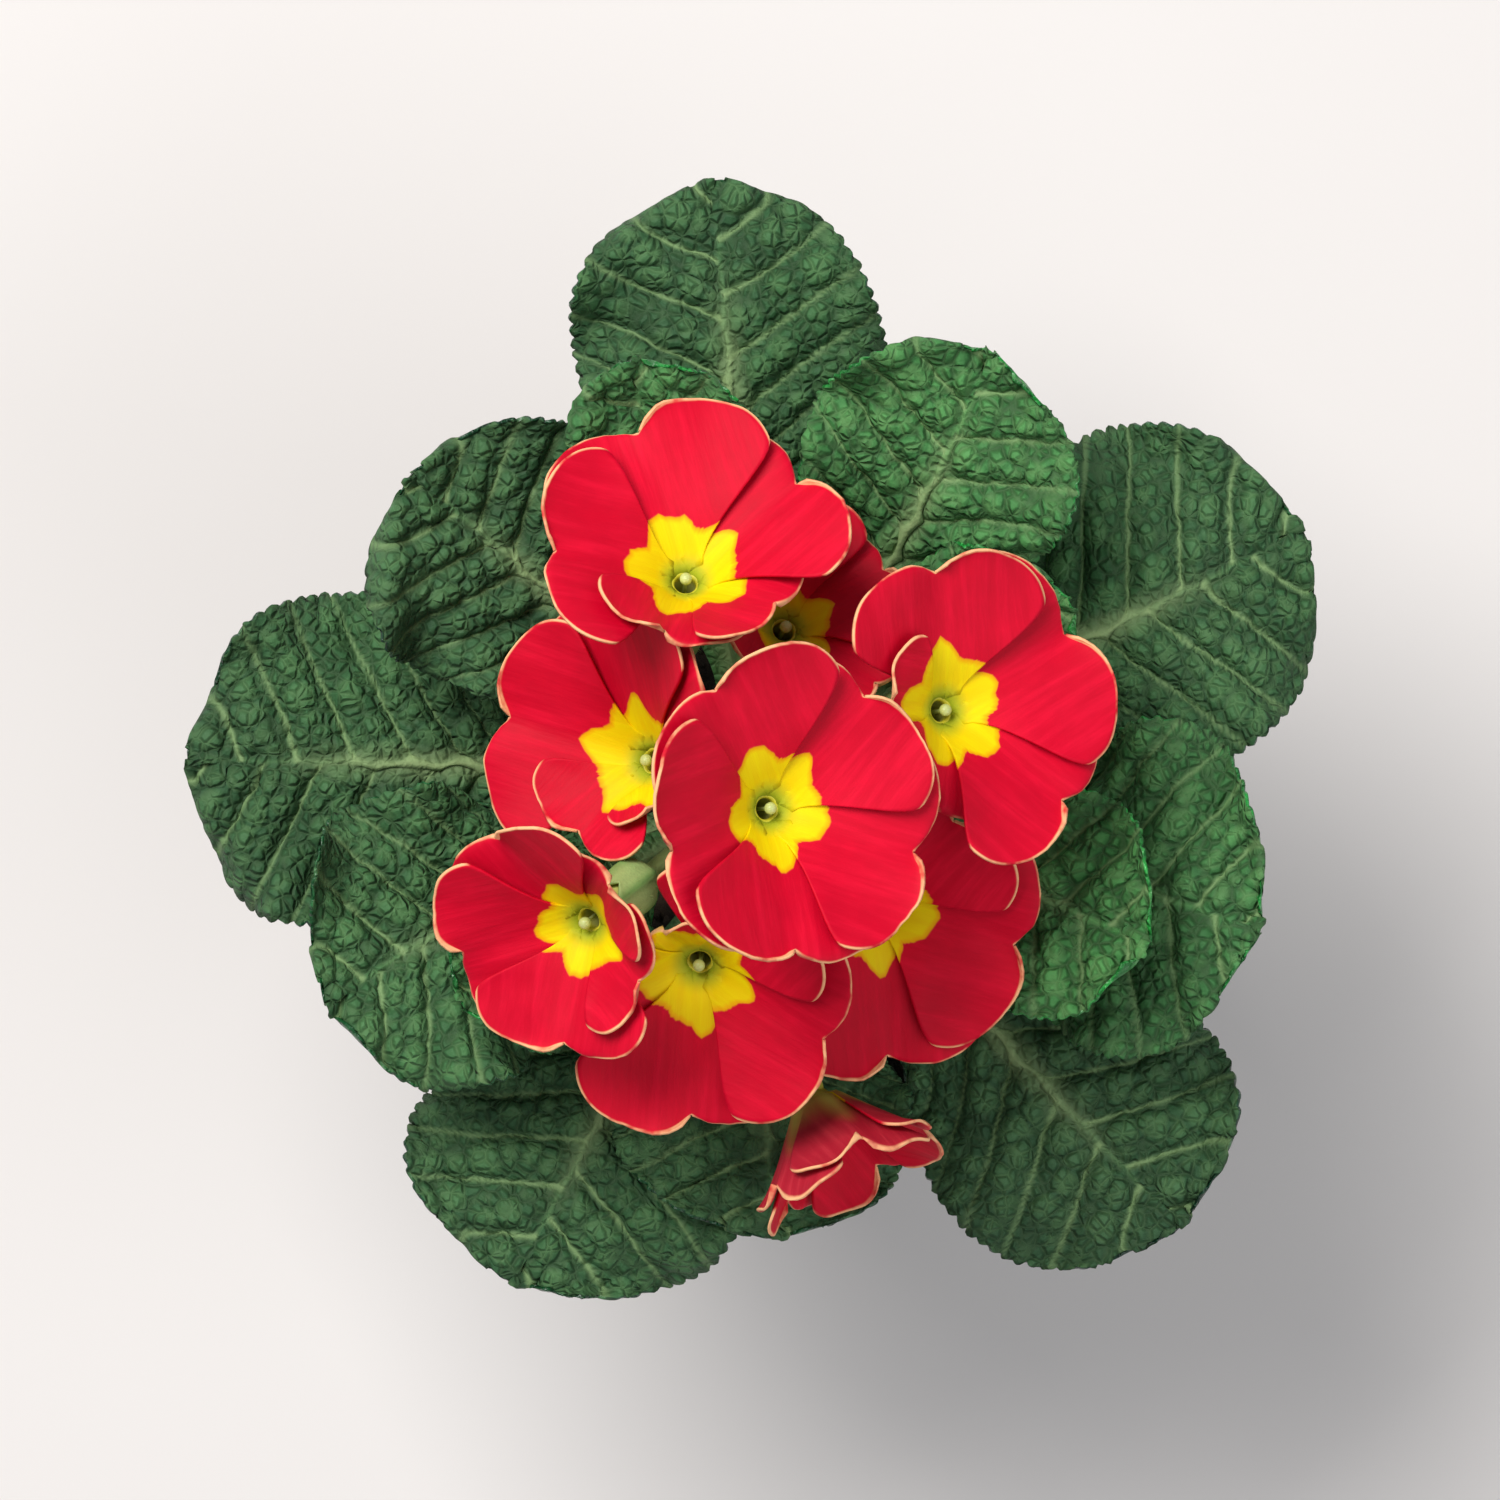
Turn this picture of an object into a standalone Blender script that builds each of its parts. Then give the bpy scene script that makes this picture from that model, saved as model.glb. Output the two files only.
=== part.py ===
# Potted primrose: a red, yellow-eyed bunch of blooms over a rosette of quilted leaves,
# growing from a short crown in a plain plastic nursery pot. Metres, +Z up, origin at the
# middle of the pot's foot. The photograph's upward direction is +Y.
import math
import random

import bmesh
import bpy
from mathutils import Matrix, Vector, noise

MM = 0.001
GAP = 0.3 * MM

# Nursery pot
POT_HEIGHT = 88 * MM
RIM_RADIUS = 50 * MM
RIM_BAND = 10 * MM
RIM_STEP = 1.6 * MM
WALL = 1.3 * MM
FOOT_RADIUS = 35 * MM
FOOT_WIDTH = 4 * MM
BOSS_RADIUS = 14 * MM
CHANNEL_HEIGHT = 3 * MM
FLOOR = 5 * MM
DRAIN_HOLES = 8
DRAIN_RADIUS = 3.2 * MM
POT_SIDES = 24

# Compost and crown
SOIL_TOP = 80 * MM
SOIL_MOUND = 1.5 * MM
SOIL_LUMP = 0.9 * MM
CROWN_RADIUS = 11 * MM
CROWN_FOOT = 68 * MM
CROWN_SHAPE = ((0, 97), (4.5, 96.6), (8, 94), (10, 90), (11, 85), (11, 68))

# Leaves: azimuth in degrees; reach, width and foot height in mm; rise in degrees; arch as a
# share of the length; fold, the height of the edges over the rib, and wave in mm
LEAVES = {
    "leaf_outer_1": (95, 78, 38, 84, 33, 0.38, -1.0, 2.2),
    "leaf_outer_2": (25, 77, 45, 84, 32, 0.38, -2.0, 2.6),
    "leaf_outer_3": (-47, 79, 42, 84, 33, 0.40, -1.5, 2.4),
    "leaf_outer_4": (-117, 73, 44, 84, 32, 0.39, -1.5, 2.6),
    "leaf_outer_5": (178, 75, 44, 84, 32, 0.39, -1.5, 2.4),
    "leaf_middle_1": (62, 62, 35, 88, 46, 0.42, 3.0, 1.9),
    "leaf_middle_2": (-17, 66, 42, 88, 44, 0.42, -1.0, 2.4),
    "leaf_middle_3": (-89, 59, 36, 87.5, 38, 0.40, -1.0, 1.9),
    "leaf_middle_4": (-153, 63, 40, 88, 45, 0.42, 1.0, 2.4),
    "leaf_middle_5": (139, 60, 38, 88, 46, 0.42, 1.5, 2.4),
    "leaf_inner_1": (-23, 53, 29, 92, 52, 0.48, 2.0, 1.3),
    "leaf_inner_2": (109, 56, 26, 92, 52, 0.46, 2.0, 1.3),
    "leaf_inner_3": (-143, 48, 26, 92, 53, 0.50, 2.0, 1.3),
    "leaf_inner_4": (31, 45, 25, 92, 54, 0.52, 2.0, 1.3),
}
STALK_SHARE = 0.2
STALK_ROWS = 2
STALK_WIDTH = 5 * MM
LATERALS = 5.5
BLADE_COLUMNS = 6
BLADE_THICKNESS = 0.7 * MM
RIB_THICKNESS = 1.9 * MM
QUILT = 0.9 * MM
SCALLOP = 0.035
TIP_ROUNDING = 0.1
VEIN_SWEEP = 0.05

# Blooms: throat x, y and z in mm; the azimuth each leans to; lean and cup in degrees;
# petal length from the throat in mm; spin in degrees; the azimuth at which its neighbours
# crowd it, and the share of their length that petals on that side lose
BLOOMS = {
    "bloom_a": (-10, 25.3, 144.5, 82, 34, 22, 21, 20, -75, 0.38),
    "bloom_b": (-15, 2.7, 136.5, 172, 42, 24, 20.5, 0, -72, 0.58),
    "bloom_c": (2.5, 19.5, 131, 60, 30, 18, 16, 10, 200, 0.5),
    "bloom_d": (0.5, -3.2, 157, 4, 28, 18, 20.5, 36, 180, 0.0),
    "bloom_e": (22.4, 9, 141, 10, 34, 14, 20.5, 14, 200, 0.47),
    "bloom_f": (-22.5, -17.5, 148.5, 218, 40, 22, 17.5, 30, 20, 0.3),
    "bloom_g": (-8.4, -23, 137, 256, 28, 20, 20.5, 34, 128, 0.6),
    "bloom_h": (13.5, -15.5, 130.5, -52, 28, 16, 21, 40, 125, 0.45),
    "bloom_i": (6.5, -41, 124, -64, 76, 44, 17, 8, 90, 0.0),
}
PETALS = 5
PETAL_THICKNESS = 0.6 * MM
PETAL_START = 3.2 * MM
PETAL_SPREAD = 0.7
PETAL_ROWS = 4
PETAL_COLUMNS = 4
PETAL_TWIST = 1.3 * MM
NOTCH = 0.12
SHOULDER = 0.27
FUNNEL_RISE = 1.8 * MM
FUNNEL_SPREAD = 4 * MM
HUB_HOLE = 2.6 * MM
HUB_RADIUS = 5.4 * MM
HUB_WALL = 0.85 * MM

# Yellow eye with its tube, green calyx and stalk
FULL_PETAL = 20.5
EYE_POINT = 8.1 * MM
EYE_VALLEY = 6.2 * MM
EYE_LIFT = 2.5 * MM
EYE_THICKNESS = 0.6 * MM
COLLAR_RADIUS = 3.2 * MM
COLLAR_LIFT = 2.0 * MM
TUBE_RADIUS = 2.3 * MM
TUBE_LENGTH = 13 * MM
CALYX_LENGTH = 10.5 * MM
CALYX_WALL = 0.8 * MM
CALYX_RIB = 0.35 * MM
TOOTH = 2.4 * MM
STALK_RADIUS = 1.15 * MM
RING_SIDES = 10
STALK_RINGS = 4
STALK_RING_RADIUS = 5.2 * MM
STALK_LEAD = 0.8


def material(name, colour, roughness):
    """Principled material with one plain colour."""
    made = bpy.data.materials.new(name)
    made.use_nodes = True
    shader = made.node_tree.nodes["Principled BSDF"]
    shader.inputs["Base Color"].default_value = (*colour, 1)
    shader.inputs["Roughness"].default_value = roughness
    return made


def add_object(name, mesh, collection, look):
    """Object of a mesh, in a collection, with one material."""
    made = bpy.data.objects.new(name, mesh)
    made.data.materials.append(look)
    collection.objects.link(made)
    return made


def mesh_from(bm, name):
    """Mesh of a bmesh, shaded smooth with sharp edges kept."""
    mesh = bpy.data.meshes.new(name)
    bm.to_mesh(mesh)
    bm.free()
    mesh.shade_smooth()
    mesh.set_sharp_from_angle(angle=math.radians(50))
    return mesh


def smooth(value):
    """Smooth step from 0 to 1."""
    value = min(max(value, 0), 1)
    return value * value * (3 - 2 * value)


def turned(name, profile, sides, collection, look):
    """Solid of revolution, made by a Screw modifier on a profile of (radius, height)."""
    mesh = bpy.data.meshes.new(name)
    points = [(radius, 0, height) for radius, height in profile]
    mesh.from_pydata(points, [(i, i + 1) for i in range(len(points) - 1)], [])
    made = add_object(name, mesh, collection, look)
    screw = made.modifiers.new("Turn", "SCREW")
    screw.steps = sides
    screw.render_steps = sides
    screw.use_merge_vertices = True
    screw.merge_threshold = 0.00001
    screw.use_smooth_shade = True
    return made


def apply_modifiers(made):
    """Turn an object's evaluated mesh into its own mesh."""
    bpy.context.view_layer.update()
    evaluated = made.evaluated_get(bpy.context.evaluated_depsgraph_get())
    mesh = bpy.data.meshes.new_from_object(evaluated)
    made.modifiers.clear()
    made.data = mesh


def inner_wall(height):
    """Inner radius of the pot at a height."""
    outer = FOOT_RADIUS + (RIM_RADIUS - RIM_STEP - FOOT_RADIUS) * height / (POT_HEIGHT - RIM_BAND)
    return min(outer, RIM_RADIUS - RIM_STEP) - WALL


def make_pot(parts, cutters, look):
    """Tapered pot with a rim band, a foot ring, a middle boss and drain holes."""
    shoulder = POT_HEIGHT - RIM_BAND
    step = RIM_RADIUS - RIM_STEP
    profile = (
        (0, FLOOR), (inner_wall(FLOOR) - 2 * MM, FLOOR), (inner_wall(FLOOR + 2 * MM), FLOOR + 2 * MM),
        (inner_wall(shoulder), shoulder), (step - WALL, POT_HEIGHT - 1 * MM), (step, POT_HEIGHT),
        (RIM_RADIUS - 0.6 * MM, POT_HEIGHT), (RIM_RADIUS, POT_HEIGHT - 0.8 * MM),
        (RIM_RADIUS, shoulder + 0.8 * MM), (RIM_RADIUS - 0.6 * MM, shoulder), (step, shoulder),
        (FOOT_RADIUS + 0.4 * MM, 1 * MM), (FOOT_RADIUS - 0.6 * MM, 0), (FOOT_RADIUS - FOOT_WIDTH, 0),
        (FOOT_RADIUS - FOOT_WIDTH - 1 * MM, CHANNEL_HEIGHT), (BOSS_RADIUS + 1 * MM, CHANNEL_HEIGHT),
        (BOSS_RADIUS, 0), (0, 0),
    )
    pot = turned("pot", profile, POT_SIDES, parts, look)
    holes = bmesh.new()
    ring = (BOSS_RADIUS + FOOT_RADIUS - FOOT_WIDTH) / 2
    for index in range(DRAIN_HOLES):
        turn = Matrix.Rotation(2 * math.pi * index / DRAIN_HOLES, 4, "Z")
        place = turn @ Matrix.Translation((ring, 0, FLOOR))
        bmesh.ops.create_cone(holes, cap_ends=True, segments=12, radius1=DRAIN_RADIUS,
                              radius2=DRAIN_RADIUS, depth=3 * FLOOR, matrix=place)
    cutter = add_object("drain_holes", mesh_from(holes, "drain_holes"), cutters, look)
    cutter.hide_render = True
    cutter.display_type = "WIRE"
    cut = pot.modifiers.new("Drain", "BOOLEAN")
    cut.operation = "DIFFERENCE"
    cut.object = cutter


def make_soil(parts, look):
    """Compost that fills the pot, with a lumpy top and a plain hole for the crown."""
    hole = CROWN_RADIUS + GAP
    top = SOIL_TOP + SOIL_MOUND
    edge = inner_wall(SOIL_TOP) - 2 * GAP
    rings = [hole + 1.5 * MM + (edge - 2 * MM - hole) * step / 5 for step in range(6)]
    profile = [(0, CROWN_FOOT - GAP), (hole, CROWN_FOOT - GAP), (hole, top)]
    profile += [(ring, top - SOIL_MOUND * (ring - hole) / (edge - hole)) for ring in rings]
    profile += [(edge, SOIL_TOP - 1 * MM), (inner_wall(FLOOR + 3 * MM) - 2 * GAP, FLOOR + 3 * MM)]
    profile += [(inner_wall(FLOOR) - 4 * MM, FLOOR + GAP), (0, FLOOR + GAP)]
    soil = turned("soil", profile, POT_SIDES, parts, look)
    apply_modifiers(soil)
    for vertex in soil.data.vertices:
        radius = math.hypot(vertex.co.x, vertex.co.y)
        if vertex.co.z > SOIL_TOP - 0.5 * MM and radius > hole + 1 * MM:
            vertex.co.z += SOIL_LUMP * noise.noise(vertex.co * 160)


def crown_surface(height):
    """Radius of the crown at a height."""
    for (r_high, z_high), (r_low, z_low) in zip(CROWN_SHAPE, CROWN_SHAPE[1:]):
        if z_low * MM <= height <= z_high * MM:
            share = (z_high * MM - height) / ((z_high - z_low) * MM)
            return (r_high + (r_low - r_high) * share) * MM
    return CROWN_RADIUS


def make_crown(parts, look):
    """Short rootstock that stands in the compost and carries leaves and bloom stalks."""
    profile = [(radius * MM, height * MM) for radius, height in CROWN_SHAPE]
    profile.append((0, profile[-1][1]))
    turned("crown", profile, 20, parts, look)


def leaf_rows():
    """Shares of a leaf's length at which its rows lie: the stalk, then a row a half pillow."""
    rows = [STALK_SHARE * step / STALK_ROWS for step in range(STALK_ROWS)]
    count = round(2 * LATERALS)
    rows += [STALK_SHARE + (1 - STALK_SHARE) * step / count for step in range(count + 1)]
    return rows


def leaf_half_width(share, width):
    """Half width of a leaf: a winged stalk that swells to a blade with a round tip."""
    swell = smooth((share - 0.1) / 0.58)
    closing = max(share - 0.7, 0) / 0.345
    return STALK_WIDTH / 2 + (width / 2 - STALK_WIDTH / 2) * swell * math.sqrt(1 - closing ** 2.4)


def leaf_point(leaf, share, across):
    """Upper face of a leaf in its own frame: X along, Y across, Z up."""
    reach, width, foot, rise, arch, fold, wave, phase = leaf
    start = crown_surface(foot) + GAP
    length = reach - start
    blade = max(share - STALK_SHARE, 0) / (1 - STALK_SHARE)
    side = abs(across)
    ripple = math.cos(2 * math.pi * LATERALS * blade)
    along = share + VEIN_SWEEP * side * smooth(share / 0.3) * (1 - share)
    along -= TIP_ROUNDING * side ** 2 * share ** 6
    half = leaf_half_width(share, width) * (1 - SCALLOP * ripple * side * smooth(blade / 0.2))
    slope = math.tan(math.radians(rise)) - 2 * arch * along
    normal = Vector((-slope, 0, 1)).normalized()
    point = Vector((start + length * along, half * across,
                    foot + length * (math.tan(math.radians(rise)) * along - arch * along ** 2)))
    relief = -QUILT * ripple * math.sin(math.pi * min(1.3 * side, 1)) * smooth(blade / 0.25)
    relief += fold * side ** 2 * smooth(blade / 0.6)
    relief += wave * side ** 3 * math.sin(4.5 * math.pi * blade + phase * across) * smooth(blade / 0.3)
    return point + normal * relief


def make_leaf(name, numbers, parts, look):
    """Quilted leaf with a waved, scalloped edge, thickest along its rib."""
    azimuth, reach, width, foot, rise, arch, fold, wave = numbers
    leaf = (reach * MM, width * MM, foot * MM, rise, arch, fold * MM, wave * MM,
            math.radians(azimuth) + 1)
    rows = leaf_rows()
    bm = bmesh.new()
    bmesh.ops.create_grid(bm, x_segments=len(rows) - 1, y_segments=BLADE_COLUMNS, size=1)
    for vertex in bm.verts:
        row = round((vertex.co.x + 1) / 2 * (len(rows) - 1))
        vertex.co = leaf_point(leaf, rows[row], vertex.co.y)
    bmesh.ops.triangulate(bm, faces=bm.faces[:], quad_method="SHORT_EDGE")
    made = add_object(name, mesh_from(bm, name), parts, look)
    made.rotation_euler.z = math.radians(azimuth)
    rib = made.vertex_groups.new(name="rib")
    for vertex in made.data.vertices:
        half = abs(vertex.co.y) / (STALK_WIDTH / 2)
        rib.add([vertex.index], max(1 - half * 0.8, 0), "REPLACE")
    shell = made.modifiers.new("Thickness", "SOLIDIFY")
    shell.thickness = RIB_THICKNESS
    shell.offset = -1
    shell.vertex_group = "rib"
    shell.thickness_vertex_group = BLADE_THICKNESS / RIB_THICKNESS


def petal_height(radius, cup):
    """Height of a bloom's face over its throat: a small funnel, then a cup."""
    out = max(radius - PETAL_START, 0)
    return out * math.tan(math.radians(cup)) + FUNNEL_RISE * (1 - math.exp(-out / FUNNEL_SPREAD))


def petal_point(share, across, length, cup, ruffle, phase):
    """Middle face of a heart-shaped petal in its own frame: Y outward, X across, Z up."""
    flat = length * math.cos(math.radians(cup))
    outline = 1 - SHOULDER * abs(across) ** 2.6 - NOTCH * math.exp(-(across / 0.3) ** 2)
    outward = PETAL_START + (flat - PETAL_START) * share * (1 + (outline - 1) * share)
    width = 0.17 + 0.83 * smooth(share / 0.5) - 0.14 * smooth((share - 0.75) / 0.25)
    sideways = PETAL_SPREAD * flat * width * across
    height = petal_height(math.hypot(outward, sideways), cup)
    height += PETAL_TWIST * across * smooth(share / 0.35)
    height += ruffle * math.sin(3 * across + phase) * share ** 3
    return Vector((sideways, outward, height))


def petal_lengths(name, numbers):
    """Lengths of a bloom's petals: they differ a little, and are shorter where it is crowded."""
    draw = random.Random(name)
    spin, crowded, give = numbers[7:10]
    lengths = []
    for index in range(PETALS):
        heading = math.radians(90 + 360 * index / PETALS + spin - crowded)
        squeeze = give * max(math.cos(heading), 0)
        lengths.append(numbers[6] * MM * draw.uniform(0.96, 1.03) * (1 - squeeze))
    return lengths


def make_petal(length, cup, draw):
    """Closed thin petal, its faces split into triangles alike."""
    ruffle = draw.uniform(0.2, 0.7) * MM
    phase = draw.uniform(0, 6)
    bm = bmesh.new()
    bmesh.ops.create_grid(bm, x_segments=PETAL_COLUMNS, y_segments=PETAL_ROWS, size=1)
    for vertex in bm.verts:
        vertex.co = petal_point((vertex.co.y + 1) / 2, vertex.co.x, length, cup, ruffle, phase)
    bmesh.ops.triangulate(bm, faces=bm.faces[:], quad_method="SHORT_EDGE")
    bmesh.ops.solidify(bm, geom=bm.faces[:], thickness=PETAL_THICKNESS)
    for vertex in bm.verts:
        vertex.co.z += PETAL_THICKNESS / 2
    bmesh.ops.recalc_face_normals(bm, faces=bm.faces[:])
    return mesh_from(bm, "petal")


def bloom_matrix(numbers):
    """Place and lean of a bloom: local +Z is the way it faces."""
    x, y, z, azimuth, lean = numbers[:5]
    spin = numbers[7]
    turn = Matrix.Rotation(math.radians(azimuth), 4, "Z")
    tip = Matrix.Rotation(math.radians(lean), 4, "Y")
    around = Matrix.Rotation(math.radians(spin - azimuth), 4, "Z")
    return Matrix.Translation((x * MM, y * MM, z * MM)) @ turn @ tip @ around


def make_petals(name, numbers, parts, cutters, look):
    """Five overlapping petals, joined to a small hub by one union."""
    cup = numbers[5]
    draw = random.Random(name)
    inner, outer = petal_height(HUB_HOLE, cup), petal_height(HUB_RADIUS, cup)
    profile = ((HUB_HOLE, inner - HUB_WALL), (HUB_HOLE, inner + HUB_WALL),
               (HUB_RADIUS, outer + HUB_WALL), (HUB_RADIUS, outer - HUB_WALL),
               (HUB_HOLE, inner - HUB_WALL))
    made = turned(name, profile, RING_SIDES, parts, look)
    joined = bpy.data.collections.new(name + "_petals")
    cutters.children.link(joined)
    for index, length in enumerate(petal_lengths(name, numbers)):
        petal = add_object("petal", make_petal(length, cup, draw), joined, look)
        petal.matrix_world = Matrix.Rotation(2 * math.pi * index / PETALS, 4, "Z")
    union = made.modifiers.new("Petals", "BOOLEAN")
    union.operation = "UNION"
    union.operand_type = "COLLECTION"
    union.collection = joined
    apply_modifiers(made)
    for petal in list(joined.objects):
        bpy.data.objects.remove(petal)
    bpy.data.collections.remove(joined)
    made.matrix_world = bloom_matrix(numbers)


def ring_points(centre, frame, radii):
    """Points round a centre in the plane of a frame's X and Y, one for each radius."""
    points = []
    for index, radius in enumerate(radii):
        angle = 2 * math.pi * index / len(radii)
        points.append(centre + frame @ Vector((radius * math.cos(angle), radius * math.sin(angle), 0)))
    return points


def loft(name, rings, closed=True):
    """Surface through rings of equally many points, with flat ends where it is closed."""
    bm = bmesh.new()
    rows = [[bm.verts.new(point) for point in ring] for ring in rings]
    sides = len(rows[0])
    for low, high in zip(rows, rows[1:]):
        for index in range(sides):
            after = (index + 1) % sides
            bm.faces.new((low[index], low[after], high[after], high[index]))
    if closed:
        bm.faces.new(rows[0][::-1])
        bm.faces.new(rows[-1])
    bmesh.ops.triangulate(bm, faces=bm.faces[:])
    bmesh.ops.recalc_face_normals(bm, faces=bm.faces[:])
    return mesh_from(bm, name)


def make_eye(name, numbers, parts, look):
    """Yellow star with five points, drawn down in the middle into a hollow tube."""
    cup = numbers[5]
    steep = 1 / math.cos(math.radians(cup))
    grown = numbers[6] / FULL_PETAL
    star = [grown * (EYE_POINT if index % 2 == 0 else EYE_VALLEY) for index in range(RING_SIDES)]

    def ring(radii, lift):
        points = ring_points(Vector(), Matrix.Identity(3), radii)
        return [point + Vector((0, 0, petal_height(point.length, cup) + lift)) for point in points]

    tube = [TUBE_RADIUS - EYE_THICKNESS / 2] * RING_SIDES
    rings = [ring(tube, -TUBE_LENGTH), ring(tube, COLLAR_LIFT - 0.6 * MM)]
    rings += [ring([COLLAR_RADIUS] * RING_SIDES, COLLAR_LIFT * steep), ring(star, EYE_LIFT * steep)]
    made = add_object(name, loft(name, rings, closed=False), parts, look)
    shell = made.modifiers.new("Thickness", "SOLIDIFY")
    shell.thickness = EYE_THICKNESS
    shell.offset = 0
    made.matrix_world = bloom_matrix(numbers)


def stalk_curve(start, finish, facing, share):
    """Point and direction along a bloom's stalk, from the crown to the calyx."""
    reach = (finish - start).length
    first = start + Vector((0, 0, 0.45 * reach))
    second = finish - facing * 0.35 * reach
    rest = 1 - share
    point = (rest ** 3 * start + 3 * rest ** 2 * share * first
             + 3 * rest * share ** 2 * second + share ** 3 * finish)
    direction = (rest ** 2 * (first - start) + 2 * rest * share * (second - first)
                 + share ** 2 * (finish - second))
    return point, direction.normalized()


def make_calyx(name, numbers, foot, parts, look):
    """Green ribbed calyx with five teeth, drawn out into the stalk that stands on the crown."""
    place = bloom_matrix(numbers)
    facing = (place.to_3x3() @ Vector((0, 0, 1))).normalized()
    bottom = place @ Vector((0, 0, -TUBE_LENGTH - 1.5 * MM))
    finish = bottom - facing * 1 * MM
    inner = TUBE_RADIUS + GAP
    outer = inner + CALYX_WALL
    ribbed = [outer + (CALYX_RIB if index % 2 == 0 else 0) for index in range(RING_SIDES)]
    rings = []
    for step in range(STALK_RINGS + 1):
        point, direction = stalk_curve(foot, finish, facing, step / STALK_RINGS)
        frame = direction.to_track_quat("Z", "X").to_matrix()
        align = frame.inverted() @ place.to_3x3()
        spin = math.atan2(align[1][0] - align[0][1], align[0][0] + align[1][1])
        frame = frame @ Matrix.Rotation(spin, 3, "Z")
        rings.append(ring_points(point, frame, [STALK_RADIUS] * RING_SIDES))
    turn = place.to_3x3()

    def level(height):
        return bottom + facing * height

    def toothed(radii, height):
        points = ring_points(level(height), turn, radii)
        return [point + facing * (TOOTH if index % 2 == 0 else 0) for index, point in enumerate(points)]

    rings.append(ring_points(level(1.2 * MM), turn, [0.82 * radius for radius in ribbed]))
    rings.append(ring_points(level(0.5 * CALYX_LENGTH), turn, [1.06 * radius for radius in ribbed]))
    rings.append(toothed(ribbed, CALYX_LENGTH - TOOTH))
    rings.append(toothed([inner] * RING_SIDES, CALYX_LENGTH - TOOTH))
    rings.append(ring_points(level(1.5 * MM - GAP), turn, [inner] * RING_SIDES))
    add_object(name, loft(name, rings), parts, look)


def crown_height(radius):
    """Height of the crown's top at a radius."""
    for (r_high, z_high), (r_low, z_low) in zip(CROWN_SHAPE, CROWN_SHAPE[1:]):
        if r_high * MM <= radius <= r_low * MM:
            share = (radius - r_high * MM) / ((r_low - r_high) * MM)
            return (z_high + (z_low - z_high) * share) * MM
    return CROWN_SHAPE[0][1] * MM


def stalk_foot(numbers):
    """Where a bloom's stalk stands on the crown: out on the side the bloom lies to."""
    place = Vector((numbers[0] * MM, numbers[1] * MM, 0))
    out = min(STALK_LEAD * place.length, STALK_RING_RADIUS)
    side = place.normalized() * out
    return side + Vector((0, 0, crown_height(max(out - STALK_RADIUS, 0)) + GAP))


def main():
    for existing in list(bpy.data.objects):
        bpy.data.objects.remove(existing)
    scene = bpy.context.scene.collection
    parts = bpy.data.collections.new("Potted primrose")
    cutters = bpy.data.collections.new("Cutters")
    scene.children.link(parts)
    scene.children.link(cutters)
    plastic = material("pot plastic", (0.02, 0.02, 0.022), 0.55)
    compost = material("compost", (0.035, 0.02, 0.012), 0.95)
    rootstock = material("crown", (0.16, 0.2, 0.07), 0.7)
    green = material("leaf", (0.04, 0.16, 0.05), 0.45)
    red = material("petal", (0.65, 0.008, 0.03), 0.5)
    yellow = material("eye", (0.9, 0.68, 0.02), 0.5)
    pale = material("calyx", (0.25, 0.4, 0.12), 0.5)
    make_pot(parts, cutters, plastic)
    make_soil(parts, compost)
    make_crown(parts, rootstock)
    for name, numbers in LEAVES.items():
        make_leaf(name, numbers, parts, green)
    for name, numbers in BLOOMS.items():
        make_petals(name + "_petals", numbers, parts, cutters, red)
        make_eye(name + "_eye", numbers, parts, yellow)
        make_calyx(name + "_calyx", numbers, stalk_foot(numbers), parts, pale)


main()
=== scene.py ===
# Looks of the potted primrose, built round its solids. Metres, +Z up. The photograph's
# upward direction is +Y, and the camera looks straight down on the blooms as it does.
import math
import random

import bmesh
import bpy
from mathutils import Matrix, Vector, noise

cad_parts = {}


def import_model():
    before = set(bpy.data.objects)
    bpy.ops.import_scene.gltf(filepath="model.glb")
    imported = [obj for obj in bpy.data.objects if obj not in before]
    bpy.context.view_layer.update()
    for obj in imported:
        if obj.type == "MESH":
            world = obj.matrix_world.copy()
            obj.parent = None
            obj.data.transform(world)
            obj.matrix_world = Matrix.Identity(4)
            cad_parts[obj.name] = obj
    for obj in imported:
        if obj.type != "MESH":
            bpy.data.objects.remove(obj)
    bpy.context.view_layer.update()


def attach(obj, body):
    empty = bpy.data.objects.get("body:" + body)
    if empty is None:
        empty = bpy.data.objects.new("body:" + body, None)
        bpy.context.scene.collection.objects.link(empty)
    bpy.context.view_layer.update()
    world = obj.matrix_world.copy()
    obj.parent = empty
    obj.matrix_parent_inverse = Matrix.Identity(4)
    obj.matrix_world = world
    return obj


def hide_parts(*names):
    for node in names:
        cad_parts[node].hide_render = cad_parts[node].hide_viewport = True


MM = 0.001
GAP = 0.3 * MM

# Nursery pot
POT_HEIGHT = 88 * MM
RIM_RADIUS = 50 * MM
RIM_BAND = 10 * MM
RIM_STEP = 1.6 * MM
RIM_ROUND = 0.9 * MM
WALL = 1.3 * MM
FOOT_RADIUS = 35 * MM
FOOT_WIDTH = 4 * MM
FOOT_SLOPE = 1 * MM
BOSS_RADIUS = 14 * MM
CHANNEL_HEIGHT = 3 * MM
FLOOR = 5 * MM
FLOOR_CORNER = 2 * MM
DRAIN_HOLES = 8
DRAIN_RADIUS = 3.2 * MM
DRAIN_SIDES = 24
POT_SIDES = 144
SHARP_DEGREES = 35

# Compost; each size of lump on its top is a height in mm and a number of lumps a metre
SOIL_TOP = 80 * MM
SOIL_MOUND = 1.5 * MM
SOIL_CORNER = 3 * MM
SOIL_RINGS = 44
SOIL_SIDES = 160
LUMPS = ((0.9, 160), (0.7, 420), (0.4, 1100))
CRUMBS = 750
CRUMB_SEED = 7
CRUMB_SIZES = (0.35, 1.1)
CRUMB_MARGIN = 1.5 * MM
CRUMB_PITS = 900
PERLITE_SHARE = 0.05
PERLITE_SIZE = 1.1

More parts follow.
